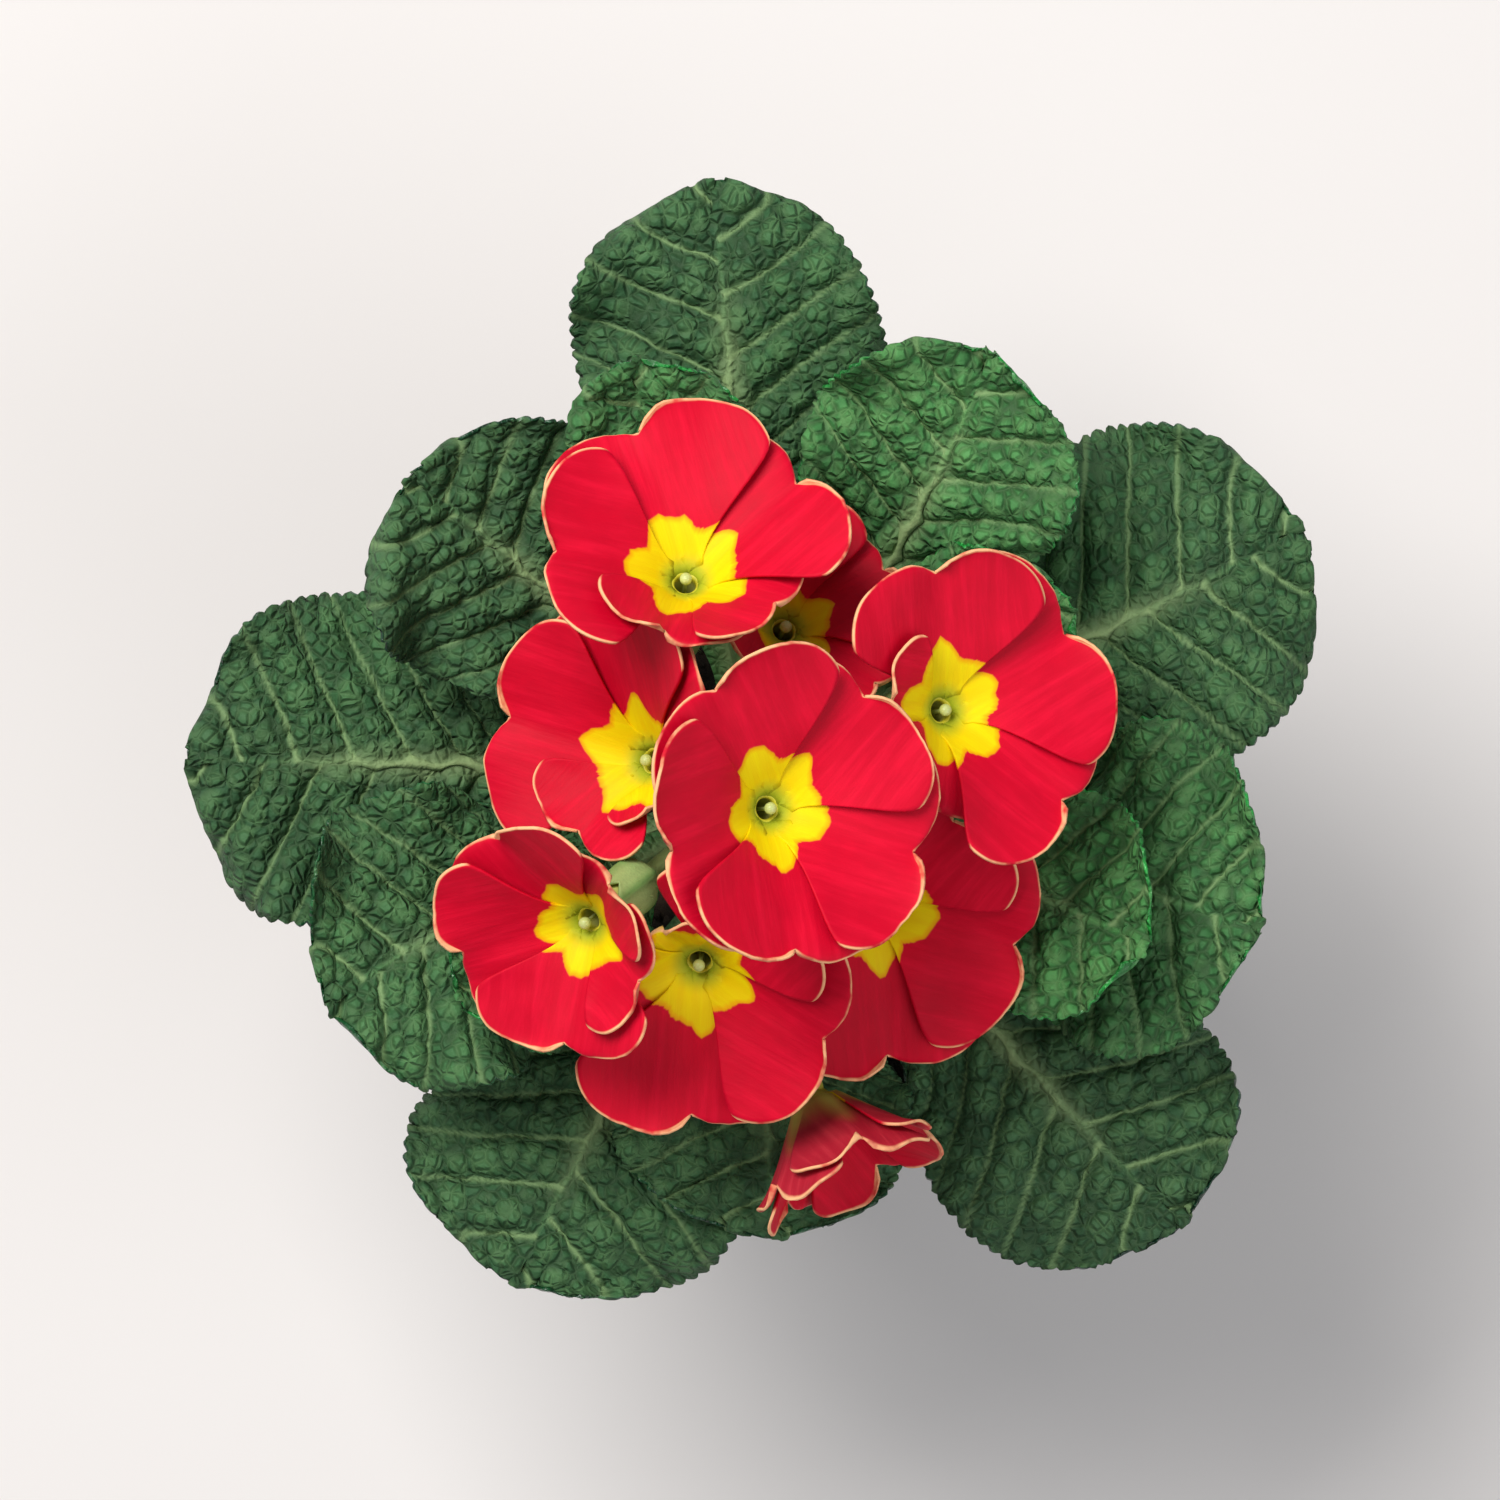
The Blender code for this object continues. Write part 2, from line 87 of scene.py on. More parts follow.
# Crown; its outline is radius and height in mm, from the top down
CROWN_SHAPE = ((0, 97), (4.5, 96.6), (8, 94), (10, 90), (11, 85), (11, 68))
CROWN_RADIUS = 11 * MM
CROWN_SIDES = 72
KNOB_DEPTH = 0.8 * MM
KNOBS = 450

# Leaves: azimuth in degrees; reach, width and foot height in mm; rise in degrees; arch as a
# share of the length; fold, the height of the edges over the rib, and wave in mm; last the
# tone, from 0 for the oldest dark leaf to 1 for the freshest
LEAVES = {
    "leaf_outer_1": (95, 78, 38, 84, 33, 0.38, -1.0, 2.2, 0.12),
    "leaf_outer_2": (25, 77, 45, 84, 32, 0.38, -2.0, 2.6, 0.16),
    "leaf_outer_3": (-47, 79, 42, 84, 33, 0.40, -1.5, 2.4, 0.0),
    "leaf_outer_4": (-117, 73, 44, 84, 32, 0.39, -1.5, 2.6, 0.08),
    "leaf_outer_5": (178, 75, 44, 84, 32, 0.39, -1.5, 2.4, 0.1),
    "leaf_middle_1": (62, 62, 35, 88, 46, 0.42, 3.0, 1.9, 0.75),
    "leaf_middle_2": (-17, 66, 42, 88, 44, 0.42, -1.0, 2.4, 0.6),
    "leaf_middle_3": (-89, 59, 36, 87.5, 38, 0.40, -1.0, 1.9, 0.1),
    "leaf_middle_4": (-153, 63, 40, 88, 45, 0.42, 1.0, 2.4, 0.2),
    "leaf_middle_5": (139, 60, 38, 88, 46, 0.42, 1.5, 2.4, 0.05),
    "leaf_inner_1": (-23, 53, 29, 92, 52, 0.48, 2.0, 1.3, 0.95),
    "leaf_inner_2": (109, 56, 26, 92, 52, 0.46, 2.0, 1.3, 0.7),
    "leaf_inner_3": (-143, 48, 26, 92, 53, 0.50, 2.0, 1.3, 0.6),
    "leaf_inner_4": (31, 45, 25, 92, 54, 0.52, 2.0, 1.3, 0.8),
}
STALK_SHARE = 0.2
STALK_WIDTH = 5 * MM
SWELL_START = 0.1
SWELL_SPAN = 0.55
BLADE_ROWS = 150
BLADE_COLUMNS = 62
BLADE_END = 0.9985
BLADE_THICKNESS = 0.45 * MM
RIB_THICKNESS = 1.9 * MM
TIP_START = 0.66
TIP_FULLNESS = 2.3
TIP_ROUNDING = 0.03
LOBE_DEPTH = 0.13
BEND = 2.2 * MM
VEIN_SWEEP = 0.05
VEIN_WIDTH = 0.45 * MM
LATERALS = 7
LATERAL_LEAN = 0.3
SMALL_LEAF = 30
SMALL_LEAF_LACKS = 1.5
RIB_WIDTH = 0.55 * MM
RIB_TAPER = 0.25 * MM
RIB_RISE = 0.25 * MM
QUILT = 1.5 * MM
BUCKLE = 1.4 * MM
NET_CELL = 3.6 * MM
NET_HEIGHT = 0.75 * MM
EDGE_WAVE = 1.25
TEETH = 34
TOOTH_SHARE = 0.035
TOOTH_ROOT = 0.8

# Blooms: throat x, y and z in mm; the azimuth each leans to; lean and cup in degrees;
# petal length from the throat in mm; spin in degrees; the azimuth at which its neighbours
# crowd it, and the share of their length that petals on that side lose
BLOOMS = {
    "bloom_a": (-10, 25.3, 144.5, 82, 34, 22, 21, 20, -75, 0.38),
    "bloom_b": (-15, 2.7, 136.5, 172, 42, 24, 20.5, 0, -72, 0.58),
    "bloom_c": (2.5, 19.5, 131, 60, 30, 18, 16, 10, 200, 0.5),
    "bloom_d": (0.5, -3.2, 157, 4, 28, 18, 20.5, 36, 180, 0.0),
    "bloom_e": (22.4, 9, 141, 10, 34, 14, 20.5, 14, 200, 0.47),
    "bloom_f": (-22.5, -17.5, 148.5, 218, 40, 22, 17.5, 30, 20, 0.3),
    "bloom_g": (-8.4, -23, 137, 256, 28, 20, 20.5, 34, 128, 0.6),
    "bloom_h": (13.5, -15.5, 130.5, -52, 28, 16, 21, 40, 125, 0.45),
    "bloom_i": (6.5, -41, 124, -64, 76, 44, 17, 8, 90, 0.0),
}
PETALS = 5
FULL_PETAL = 20.5
PETAL_THICKNESS = 0.35 * MM
PETAL_START = 3.2 * MM
PETAL_INNER = 1.45 * MM
PETAL_END = 0.9995
PETAL_SPREAD = 0.74
PETAL_BASE = 0.2
PETAL_BROADEST = 0.52
PETAL_ROWS = 34
PETAL_COLUMNS = 36
PETAL_TWIST = 1.3 * MM
THROAT_DIP = 1.6 * MM
THROAT_BEND = 0.7 * MM
NOTCH = 0.11
NOTCH_WIDTH = 0.17
ROUND_START = 0.5
ROUNDNESS = 2.25
RIPPLE = 0.45 * MM
CREASE = 0.4 * MM
FUNNEL_RISE = 1.8 * MM
FUNNEL_SPREAD = 4 * MM
EYE_RADIUS = 7.3 * MM
STAR_VALLEY = 0.8
STAR_POINT = 0.32

# Tube and pistil; outlines are radius and height in mm from the throat, and the tube's
# third number is how near its colour is to that of its mouth
TUBE_OUTLINE = ((2.0, -13, 0.0), (2.0, -6, 0.2), (1.9, -3.6, 0.5), (1.65, -2.2, 0.8),
                (1.5, -1.5, 0.9), (1.55, -1.2, 1.0), (1.85, -1.15, 1.0))
TUBE_RADIUS = 2.3 * MM
TUBE_LENGTH = 13 * MM
TUBE_WALL = 0.35 * MM
PISTIL_OUTLINE = ((0.26, -9), (0.26, -0.9), (0.5, -0.65), (0.72, -0.25), (0.78, 0.15),
                  (0.66, 0.5), (0.36, 0.72), (0.08, 0.78))
PISTIL_SIDES = 20

# Calyx and stalk; the calyx's swells are height in mm and a share of its radius
CALYX_LENGTH = 10.5 * MM
CALYX_WALL = 0.55 * MM
CALYX_RIB = 0.4 * MM
CALYX_FOOT = 1.5 * MM
CALYX_FLOOR = 1.3 * MM
CALYX_SWELLS = ((1, 0.78), (1.8, 0.96), (3, 1.04), (4.5, 1.07), (6, 1.05), (7.6, 1.0))
TOOTH = 2.8 * MM
TOOTH_STEPS = (0.35, 0.7, 1.0)
STALK_RADIUS = 1.15 * MM
STALK_RING_RADIUS = 5.2 * MM
STALK_LEAD = 0.8
RING_SIDES = 40
STALK_RINGS = 22
HAIRS = 220
HAIR_LENGTH = 0.9 * MM
HAIR_WIDTH = 0.03 * MM
HAIR_DEPTH = 0.05 * MM

# Camera and lights
CAMERA_PLACE = (-0.002, 0.004, 1.35)
CAMERA_LENS = 232
LIGHT_AIM = Vector((0, 0, 0.12))


# Node helpers

def put(tree, kind, **settings):
    """New node in a tree, with its settings."""
    made = tree.nodes.new(kind)
    for name, value in settings.items():
        setattr(made, name, value)
    return made


def feed(tree, socket, value):
    """Give a socket a link or a plain value."""
    if isinstance(value, bpy.types.NodeSocket):
        tree.links.new(value, socket)
    elif socket.type == "RGBA" and len(value) == 3:
        socket.default_value = (*value, 1)
    else:
        socket.default_value = value


def maths(tree, operation, first, second=0.0):
    """Result of one sum on two links or plain values."""
    made = put(tree, "ShaderNodeMath", operation=operation)
    feed(tree, made.inputs[0], first)
    feed(tree, made.inputs[1], second)
    return made.outputs[0]


def ramp(tree, value, low, high):
    """Smooth 0 to 1 as a value goes from low to high."""
    made = put(tree, "ShaderNodeMapRange", interpolation_type="SMOOTHSTEP")
    feed(tree, made.inputs["Value"], value)
    made.inputs["From Min"].default_value = low
    made.inputs["From Max"].default_value = high
    return made.outputs[0]


def between(tree, share, low, high):
    """Colour between two colours."""
    made = put(tree, "ShaderNodeMix", data_type="RGBA")
    feed(tree, made.inputs[0], share)
    feed(tree, made.inputs[6], low)
    feed(tree, made.inputs[7], high)
    return made.outputs[2]


def object_place(tree):
    """Place of a point in its object's own space."""
    return put(tree, "ShaderNodeTexCoord").outputs["Object"]


def object_height(tree):
    """Height of a point in its object's own space."""
    made = put(tree, "ShaderNodeSeparateXYZ")
    tree.links.new(object_place(tree), made.inputs[0])
    return made.outputs[2]


def cloud(tree, scale, detail=3.0, place=None, rough=0.5):
    """Noise from 0 to 1 at so many cells a metre, or over a given place."""
    made = put(tree, "ShaderNodeTexNoise")
    made.inputs["Scale"].default_value = scale
    made.inputs["Detail"].default_value = detail
    made.inputs["Roughness"].default_value = rough
    tree.links.new(place or object_place(tree), made.inputs["Vector"])
    return made.outputs[0]


def stored(tree, name):
    """Value kept on the mesh's points."""
    return put(tree, "ShaderNodeAttribute", attribute_name=name).outputs["Fac"]


def bump(tree, height, depth, strength):
    """Normal of a relief so many metres deep."""
    made = put(tree, "ShaderNodeBump")
    made.inputs["Strength"].default_value = strength
    made.inputs["Distance"].default_value = depth
    feed(tree, made.inputs["Height"], height)
    return made.outputs["Normal"]


def surface(name):
    """New material with its tree and its shader's inputs."""
    made = bpy.data.materials.new(name)
    made.use_nodes = True
    tree = made.node_tree
    return made, tree, tree.nodes["Principled BSDF"].inputs


# Shared effects

def new_group(name, inputs, outputs):
    """Shader node group with its sockets, given as names and kinds."""
    group = bpy.data.node_groups.new(name, "ShaderNodeTree")
    for way, sockets in (("INPUT", inputs), ("OUTPUT", outputs)):
        for socket, kind in sockets.items():
            group.interface.new_socket(socket, in_out=way, socket_type="NodeSocket" + kind)
    return group, put(group, "NodeGroupInput").outputs, put(group, "NodeGroupOutput").inputs


def mottle_group():
    """Two scales of soft patches that darken and lighten a colour."""
    finer = 7.0
    group, given, result = new_group(
        "mottle", {"Colour": "Color", "Patches": "Float", "Depth": "Float"}, {"Colour": "Color"})
    place = object_place(group)
    large = put(group, "ShaderNodeTexNoise")
    small = put(group, "ShaderNodeTexNoise")
    group.links.new(place, large.inputs["Vector"])
    group.links.new(place, small.inputs["Vector"])
    group.links.new(given["Patches"], large.inputs["Scale"])
    feed(group, small.inputs["Scale"], maths(group, "MULTIPLY", given["Patches"], finer))
    both = maths(group, "ADD", large.outputs[0], small.outputs[0])
    swing = maths(group, "MULTIPLY", maths(group, "SUBTRACT", both, 1.0), given["Depth"])
    change = put(group, "ShaderNodeHueSaturation")
    feed(group, change.inputs["Value"], maths(group, "ADD", swing, 1.0))
    feed(group, change.inputs["Color"], given["Colour"])
    group.links.new(change.outputs[0], result["Colour"])
    return group


def mottled(tree, group, colour, patches, depth):
    """A colour broken up by the mottle group, at so many patches a metre."""
    made = put(tree, "ShaderNodeGroup", node_tree=group)
    feed(tree, made.inputs["Colour"], colour)
    made.inputs["Patches"].default_value = patches
    made.inputs["Depth"].default_value = depth
    return made.outputs["Colour"]


def grain_group():
    """Fine grain of a surface, and the normal of its relief."""
    inputs = dict.fromkeys(("Grains", "Detail", "Harshness", "Depth", "Strength"), "Float")
    group, given, result = new_group("grain", inputs, {"Grain": "Float", "Normal": "Vector"})
    specks = put(group, "ShaderNodeTexNoise")
    relief = put(group, "ShaderNodeBump")
    group.links.new(object_place(group), specks.inputs["Vector"])
    group.links.new(given["Grains"], specks.inputs["Scale"])
    group.links.new(given["Detail"], specks.inputs["Detail"])
    group.links.new(given["Harshness"], specks.inputs["Roughness"])
    group.links.new(given["Depth"], relief.inputs["Distance"])
    group.links.new(given["Strength"], relief.inputs["Strength"])
    group.links.new(specks.outputs[0], relief.inputs["Height"])
    group.links.new(specks.outputs[0], result["Grain"])
    group.links.new(relief.outputs["Normal"], result["Normal"])
    return group


def grained(tree, group, grains, detail, depth, strength=1.0, harshness=0.5):
    """Grain and normal of the grain group, at so many grains a metre and a depth in metres."""
    made = put(tree, "ShaderNodeGroup", node_tree=group)
    made.inputs["Grains"].default_value = grains
    made.inputs["Detail"].default_value = detail
    made.inputs["Harshness"].default_value = harshness
    made.inputs["Depth"].default_value = depth
    made.inputs["Strength"].default_value = strength
    return made.outputs["Grain"], made.outputs["Normal"]


# Materials

def petal_streaks(tree):
    """Fine streaks that run out along each petal."""
    place = put(tree, "ShaderNodeCombineXYZ")
    feed(tree, place.inputs[0], maths(tree, "MULTIPLY", stored(tree, "across"), 9.0))
    feed(tree, place.inputs[1], maths(tree, "MULTIPLY", stored(tree, "share"), 1.1))
    feed(tree, place.inputs[2], stored(tree, "petal"))
    return cloud(tree, 1.0, 4.0, place.outputs[0], 0.6)


def star_colour(tree, streak, past_eye):
    """Yellow of the star: warmer at its rim, and green round the throat."""
    yellow = between(tree, ramp(tree, streak, 0.35, 0.75), (0.86, 0.62, 0.0), (0.9, 0.74, 0.0))
    yellow = between(tree, ramp(tree, past_eye, -0.7, 0.1), yellow, (0.85, 0.4, 0.0))
    throat = ramp(tree, stored(tree, "out_mm"), 4.2, 1.7)
    return between(tree, throat, yellow, (0.36, 0.42, 0.02))


def petal_finish(name, mottle, back):
    """Velvety crimson with fine streaks, a yellow star and a thin pale edge, or its back."""
    made, tree, into = surface(name)
    deep, bright = (0.6, 0.0, 0.02), (0.76, 0.003, 0.032)
    if back:
        deep, bright = (0.42, 0.012, 0.03), (0.55, 0.03, 0.05)
    streak = petal_streaks(tree)
    red = between(tree, ramp(tree, streak, 0.4, 0.8), deep, bright)
    red = mottled(tree, mottle, red, 60.0, 0.16)
    past_eye = maths(tree, "SUBTRACT", stored(tree, "out_mm"), stored(tree, "eye_mm"))
    if back:
        middle = between(tree, ramp(tree, past_eye, 1.5, -4.5), red, (0.62, 0.55, 0.1))
    else:
        star = star_colour(tree, streak, past_eye)
        middle = between(tree, ramp(tree, past_eye, 0.28, 0.0), red, star)
    flecks = ramp(tree, cloud(tree, 260.0), 0.3, 0.55)
    edge = maths(tree, "MULTIPLY", ramp(tree, stored(tree, "rim_mm"), 0.32, 0.06), flecks)
    feed(tree, into["Base Color"], between(tree, edge, middle, (1.0, 0.52, 0.26)))
    feed(tree, into["Roughness"], maths(tree, "ADD", maths(tree, "MULTIPLY", streak, 0.2), 0.5))
    into["Specular IOR Level"].default_value = 0.14
    feed(tree, into["Normal"], bump(tree, streak, 0.2 * MM, 0.6))
    return made


def throat_finish():
    """Yellow tube, paler and greener below its mouth."""
    made, tree, into = surface("throat")
    mouth = ramp(tree, stored(tree, "level"), 0.55, 0.95)
    feed(tree, into["Base Color"], between(tree, mouth, (0.62, 0.62, 0.16), (0.62, 0.56, 0.03)))
    into["Roughness"].default_value = 0.5
    return made


def stigma_finish(grain):
    """Pale green, moist head of the pistil."""
    made, tree, into = surface("stigma")
    speck, normal = grained(tree, grain, 3000.0, 2.0, 0.1 * MM)
    feed(tree, into["Base Color"], between(tree, speck, (0.42, 0.5, 0.12), (0.68, 0.74, 0.32)))
    feed(tree, into["Normal"], normal)
    into["Roughness"].default_value = 0.35
    return made


def wrinkles(tree):
    """Height of the finest net of a leaf: small cushions between sunken lines."""
    place = object_place(tree)
    drift = put(tree, "ShaderNodeTexNoise")
    drift.inputs["Scale"].default_value = 260.0
    tree.links.new(place, drift.inputs["Vector"])
    moved = put(tree, "ShaderNodeVectorMath", operation="MULTIPLY_ADD")
    tree.links.new(drift.outputs["Color"], moved.inputs[0])
    moved.inputs[1].default_value = (1.4 * MM,) * 3
    tree.links.new(place, moved.inputs[2])
    cells = put(tree, "ShaderNodeTexVoronoi", feature="DISTANCE_TO_EDGE")
    cells.inputs["Scale"].default_value = 620.0
    tree.links.new(moved.outputs[0], cells.inputs["Vector"])
    return ramp(tree, cells.outputs["Distance"], 0.0, 0.3)


def leaf_colour(tree, mottle, net, underside):
    """Green by the leaf's tone, with painted shade darkening its hollows, a painted highlight lightening
    the crests of its net, and pale on its ribs.
    """
    tone, vein, rib = (stored(tree, name) for name in ("tone", "vein", "rib"))
    dark, fresh = (0.003, 0.034, 0.017), (0.02, 0.42, 0.055)
    pale_vein, pale_rib = (0.17, 0.37, 0.15), (0.18, 0.39, 0.12)
    if underside:
        dark, fresh = (0.07, 0.16, 0.06), (0.1, 0.27, 0.08)
        pale_vein, pale_rib = (0.25, 0.38, 0.16), (0.34, 0.46, 0.2)
    green = mottled(tree, mottle, between(tree, tone, dark, fresh), 45.0, 0.6)
    # Painted shade: a near-black green mixed into the hollows between the leaf's pillows and net cells.
    painted_hollow_shade = maths(tree, "MULTIPLY", stored(tree, "painted_hollow_shade"), 0.6)
    green = between(tree, painted_hollow_shade, green, (0.002, 0.014, 0.006))
    # Painted highlight: a lighter green laid on the raised crests of the leaf's fine net.
    painted_crest_highlight = between(tree, tone, (0.03, 0.13, 0.06), (0.09, 0.55, 0.13))
    green = between(tree, maths(tree, "MULTIPLY", net, 0.25), green, painted_crest_highlight)
    green = between(tree, maths(tree, "MULTIPLY", vein, 0.75), green, pale_vein)
    return between(tree, maths(tree, "MULTIPLY", rib, 0.8), green, pale_rib)


def leaf_finish(name, mottle, grain, underside):
    """Quilted leaf: dark glossy pillows between pale ribs, or its pale, matt underside."""
    made, tree, into = surface(name)
    ribs = maths(tree, "MAXIMUM", stored(tree, "vein"), stored(tree, "rib"))
    net = maths(tree, "MULTIPLY", wrinkles(tree), maths(tree, "SUBTRACT", 1.0, ribs))
    feed(tree, into["Base Color"], leaf_colour(tree, mottle, net, underside))
    speck, _ = grained(tree, grain, 1400.0, 4.0, 0.0)
    rough = maths(tree, "ADD", maths(tree, "MULTIPLY", speck, 0.3), 0.55 if underside else 0.17)
    feed(tree, into["Roughness"], rough)
    into["Specular IOR Level"].default_value = 0.3 if underside else 0.5
    height = maths(tree, "ADD", net, maths(tree, "MULTIPLY", speck, 0.5))
    feed(tree, into["Normal"], bump(tree, height, 0.45 * MM, 0.9))
    return made


def stalk_finish(mottle, grain):
    """Pale green stalk and calyx, with darker ribs and a flush of red-brown at the foot."""
    made, tree, into = surface("stalk")
    colour = between(tree, stored(tree, "rib"), (0.36, 0.5, 0.17), (0.16, 0.32, 0.08))
    colour = mottled(tree, mottle, colour, 300.0, 0.25)
    flush = ramp(tree, stored(tree, "level"), 0.35, 0.0)
    colour = between(tree, maths(tree, "MULTIPLY", flush, 0.45), colour, (0.3, 0.12, 0.07))
    feed(tree, into["Base Color"], colour)
    _, normal = grained(tree, grain, 2500.0, 3.0, 0.12 * MM, 0.7)
    feed(tree, into["Normal"], normal)
    into["Roughness"].default_value = 0.5
    return made


def plastic_finish(mottle, grain):
    """Charcoal moulded plastic with a fine matt grain and dried splashes near the rim."""
    made, tree, into = surface("pot_plastic")
    colour = mottled(tree, mottle, (0.03, 0.03, 0.033), 30.0, 0.35)
    splash = ramp(tree, cloud(tree, 120.0, 6.0, rough=0.7), 0.6, 0.72)
    near_rim = ramp(tree, object_height(tree), 0.4 * POT_HEIGHT, POT_HEIGHT)
    dust = maths(tree, "MULTIPLY", maths(tree, "MULTIPLY", splash, near_rim), 0.4)
    feed(tree, into["Base Color"], between(tree, dust, colour, (0.16, 0.12, 0.085)))
    speck, normal = grained(tree, grain, 2600.0, 2.0, 0.05 * MM, 0.6)
    rough = maths(tree, "ADD", maths(tree, "MULTIPLY", speck, 0.16), 0.4)
    feed(tree, into["Roughness"], maths(tree, "ADD", rough, maths(tree, "MULTIPLY", dust, 0.8)))
    feed(tree, into["Normal"], normal)
    return made


def compost_finish(mottle, grain):
    """Damp dark peat, browner where it has dried."""
    made, tree, into = surface("compost")
    dry = ramp(tree, cloud(tree, 160.0, 5.0), 0.45, 0.7)
    colour = between(tree, dry, (0.018, 0.011, 0.007), (0.07, 0.042, 0.024))
    feed(tree, into["Base Color"], mottled(tree, mottle, colour, 400.0, 0.6))
    into["Roughness"].default_value = 0.92
    _, normal = grained(tree, grain, 900.0, 6.0, 0.8 * MM, harshness=0.7)
    feed(tree, into["Normal"], normal)
    return made


def perlite_finish():
    """Chalky white grain."""
    made, tree, into = surface("perlite")
    white = between(tree, cloud(tree, 900.0), (0.5, 0.47, 0.42), (0.8, 0.78, 0.74))
    feed(tree, into["Base Color"], white)
    into["Roughness"].default_value = 0.85
    return made


def rootstock_finish(mottle, grain):
    """Fleshy crown, green above and brown at the compost."""
    made, tree, into = surface("rootstock")
    above = ramp(tree, object_height(tree), 82 * MM, 93 * MM)
    colour = between(tree, above, (0.1, 0.06, 0.03), (0.2, 0.28, 0.1))
    feed(tree, into["Base Color"], mottled(tree, mottle, colour, 250.0, 0.5))
    into["Roughness"].default_value = 0.7
    _, normal = grained(tree, grain, 700.0, 5.0, 0.5 * MM)
    feed(tree, into["Normal"], normal)
    return made


def floor_finish():
    """Plain pale table, faintly uneven."""
    made, tree, into = surface("pale_floor")
    pale = between(tree, cloud(tree, 6.0), (0.78, 0.74, 0.72), (0.82, 0.79, 0.77))
    feed(tree, into["Base Color"], pale)
    into["Roughness"].default_value = 0.75
    return made


# Mesh helpers

def smooth(value):
    """Smooth step from 0 to 1."""
    value = min(max(value, 0), 1)
    return value * value * (3 - 2 * value)


def add_object(name, mesh, *looks):
    """Object of a smooth mesh with its materials."""
    made = bpy.data.objects.new(name, mesh)
    for look in looks:
        mesh.materials.append(look)
    mesh.shade_smooth()
    bpy.context.scene.collection.objects.link(made)
    return made


def finish_mesh(name, bm, values):
    """Mesh of a finished bmesh, with named lists of numbers stored on its points."""
    mesh = bpy.data.meshes.new(name)
    bm.to_mesh(mesh)
    bm.free()
    for key, numbers in values.items():
        mesh.attributes.new(key, "FLOAT", "POINT").data.foreach_set("value", numbers)
    return mesh


def grid_mesh(name, columns, rows, place, count=1):
    """Mesh of one or more grids; place gives a point and its stored values at (copy, u, v)."""
    bm = bmesh.new()
    values = {}
    for copy in range(count):
        fresh = bmesh.ops.create_grid(bm, x_segments=columns, y_segments=rows, size=1)["verts"]
        for vertex in fresh:
            vertex.co, facts = place(copy, vertex.co.x, (vertex.co.y + 1) / 2)
            for key, number in facts.items():
                values.setdefault(key, []).append(number)
    return finish_mesh(name, bm, values)


def loft_mesh(name, rings, values, closed):
    """Mesh through rings of equally many points, with its ends closed or open."""
    bm = bmesh.new()
    rows = [[bm.verts.new(point) for point in ring] for ring in rings]
    for low, high in zip(rows, rows[1:]):
        for index in range(len(low)):
            after = (index + 1) % len(low)
            bm.faces.new((low[index], low[after], high[after], high[index]))
    if closed:
        bm.faces.new(rows[0][::-1])
        bm.faces.new(rows[-1])
    bmesh.ops.recalc_face_normals(bm, faces=bm.faces[:])
    return finish_mesh(name, bm, values)


def ring_points(centre, frame, radii):
    """Points round a centre in the plane of a frame's X and Y, one for each radius."""
    points = []
    for index, radius in enumerate(radii):
        angle = 2 * math.pi * index / len(radii)
        points.append(centre + frame @ Vector((radius * math.cos(angle), radius * math.sin(angle), 0)))
    return points


def level_rings(outline, sides):
    """Level rings round the Z axis for an outline of radius and height in mm."""
    rings = []
    for radius, height, *_ in outline:
        centre = Vector((0, 0, height * MM))
        rings.append(ring_points(centre, Matrix.Identity(3), [radius * MM] * sides))
    return rings


def turned(name, profile, sides, look):
    """Solid of revolution, made by a Screw modifier on a profile of (radius, height)."""
    mesh = bpy.data.meshes.new(name)
    points = [(radius, 0, height) for radius, height in profile]
    mesh.from_pydata(points, [(i, i + 1) for i in range(len(points) - 1)], [])
    made = add_object(name, mesh, look)
    screw = made.modifiers.new("Turn", "SCREW")
    screw.steps = sides
    screw.render_steps = sides
    screw.use_merge_vertices = True
    screw.merge_threshold = 0.01 * MM
    screw.use_smooth_shade = True
    return made


def thicken(made, thickness, offset, back_slot=0):
    """Solidify modifier that gives a sheet its thickness, and its back a material slot."""
    shell = made.modifiers.new("Thickness", "SOLIDIFY")
    shell.thickness = thickness
    shell.offset = offset
    shell.material_offset = back_slot
    return shell


def apply_modifiers(made):
    """Turn an object's evaluated mesh into its own mesh."""
    bpy.context.view_layer.update()
    evaluated = made.evaluated_get(bpy.context.evaluated_depsgraph_get())
    mesh = bpy.data.meshes.new_from_object(evaluated)
    made.modifiers.clear()
    made.data = mesh


def settle(made, slot, *nodes):
    """Let a piece ride with the plant and stand for its solids, which it hides; the slot is not used."""
    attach(made, "root")
    if nodes:
        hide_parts(*nodes)


# Pot

def inner_wall(height):
    """Inner radius of the pot at a height."""
    outer = FOOT_RADIUS + (RIM_RADIUS - RIM_STEP - FOOT_RADIUS) * height / (POT_HEIGHT - RIM_BAND)
    return min(outer, RIM_RADIUS - RIM_STEP) - WALL


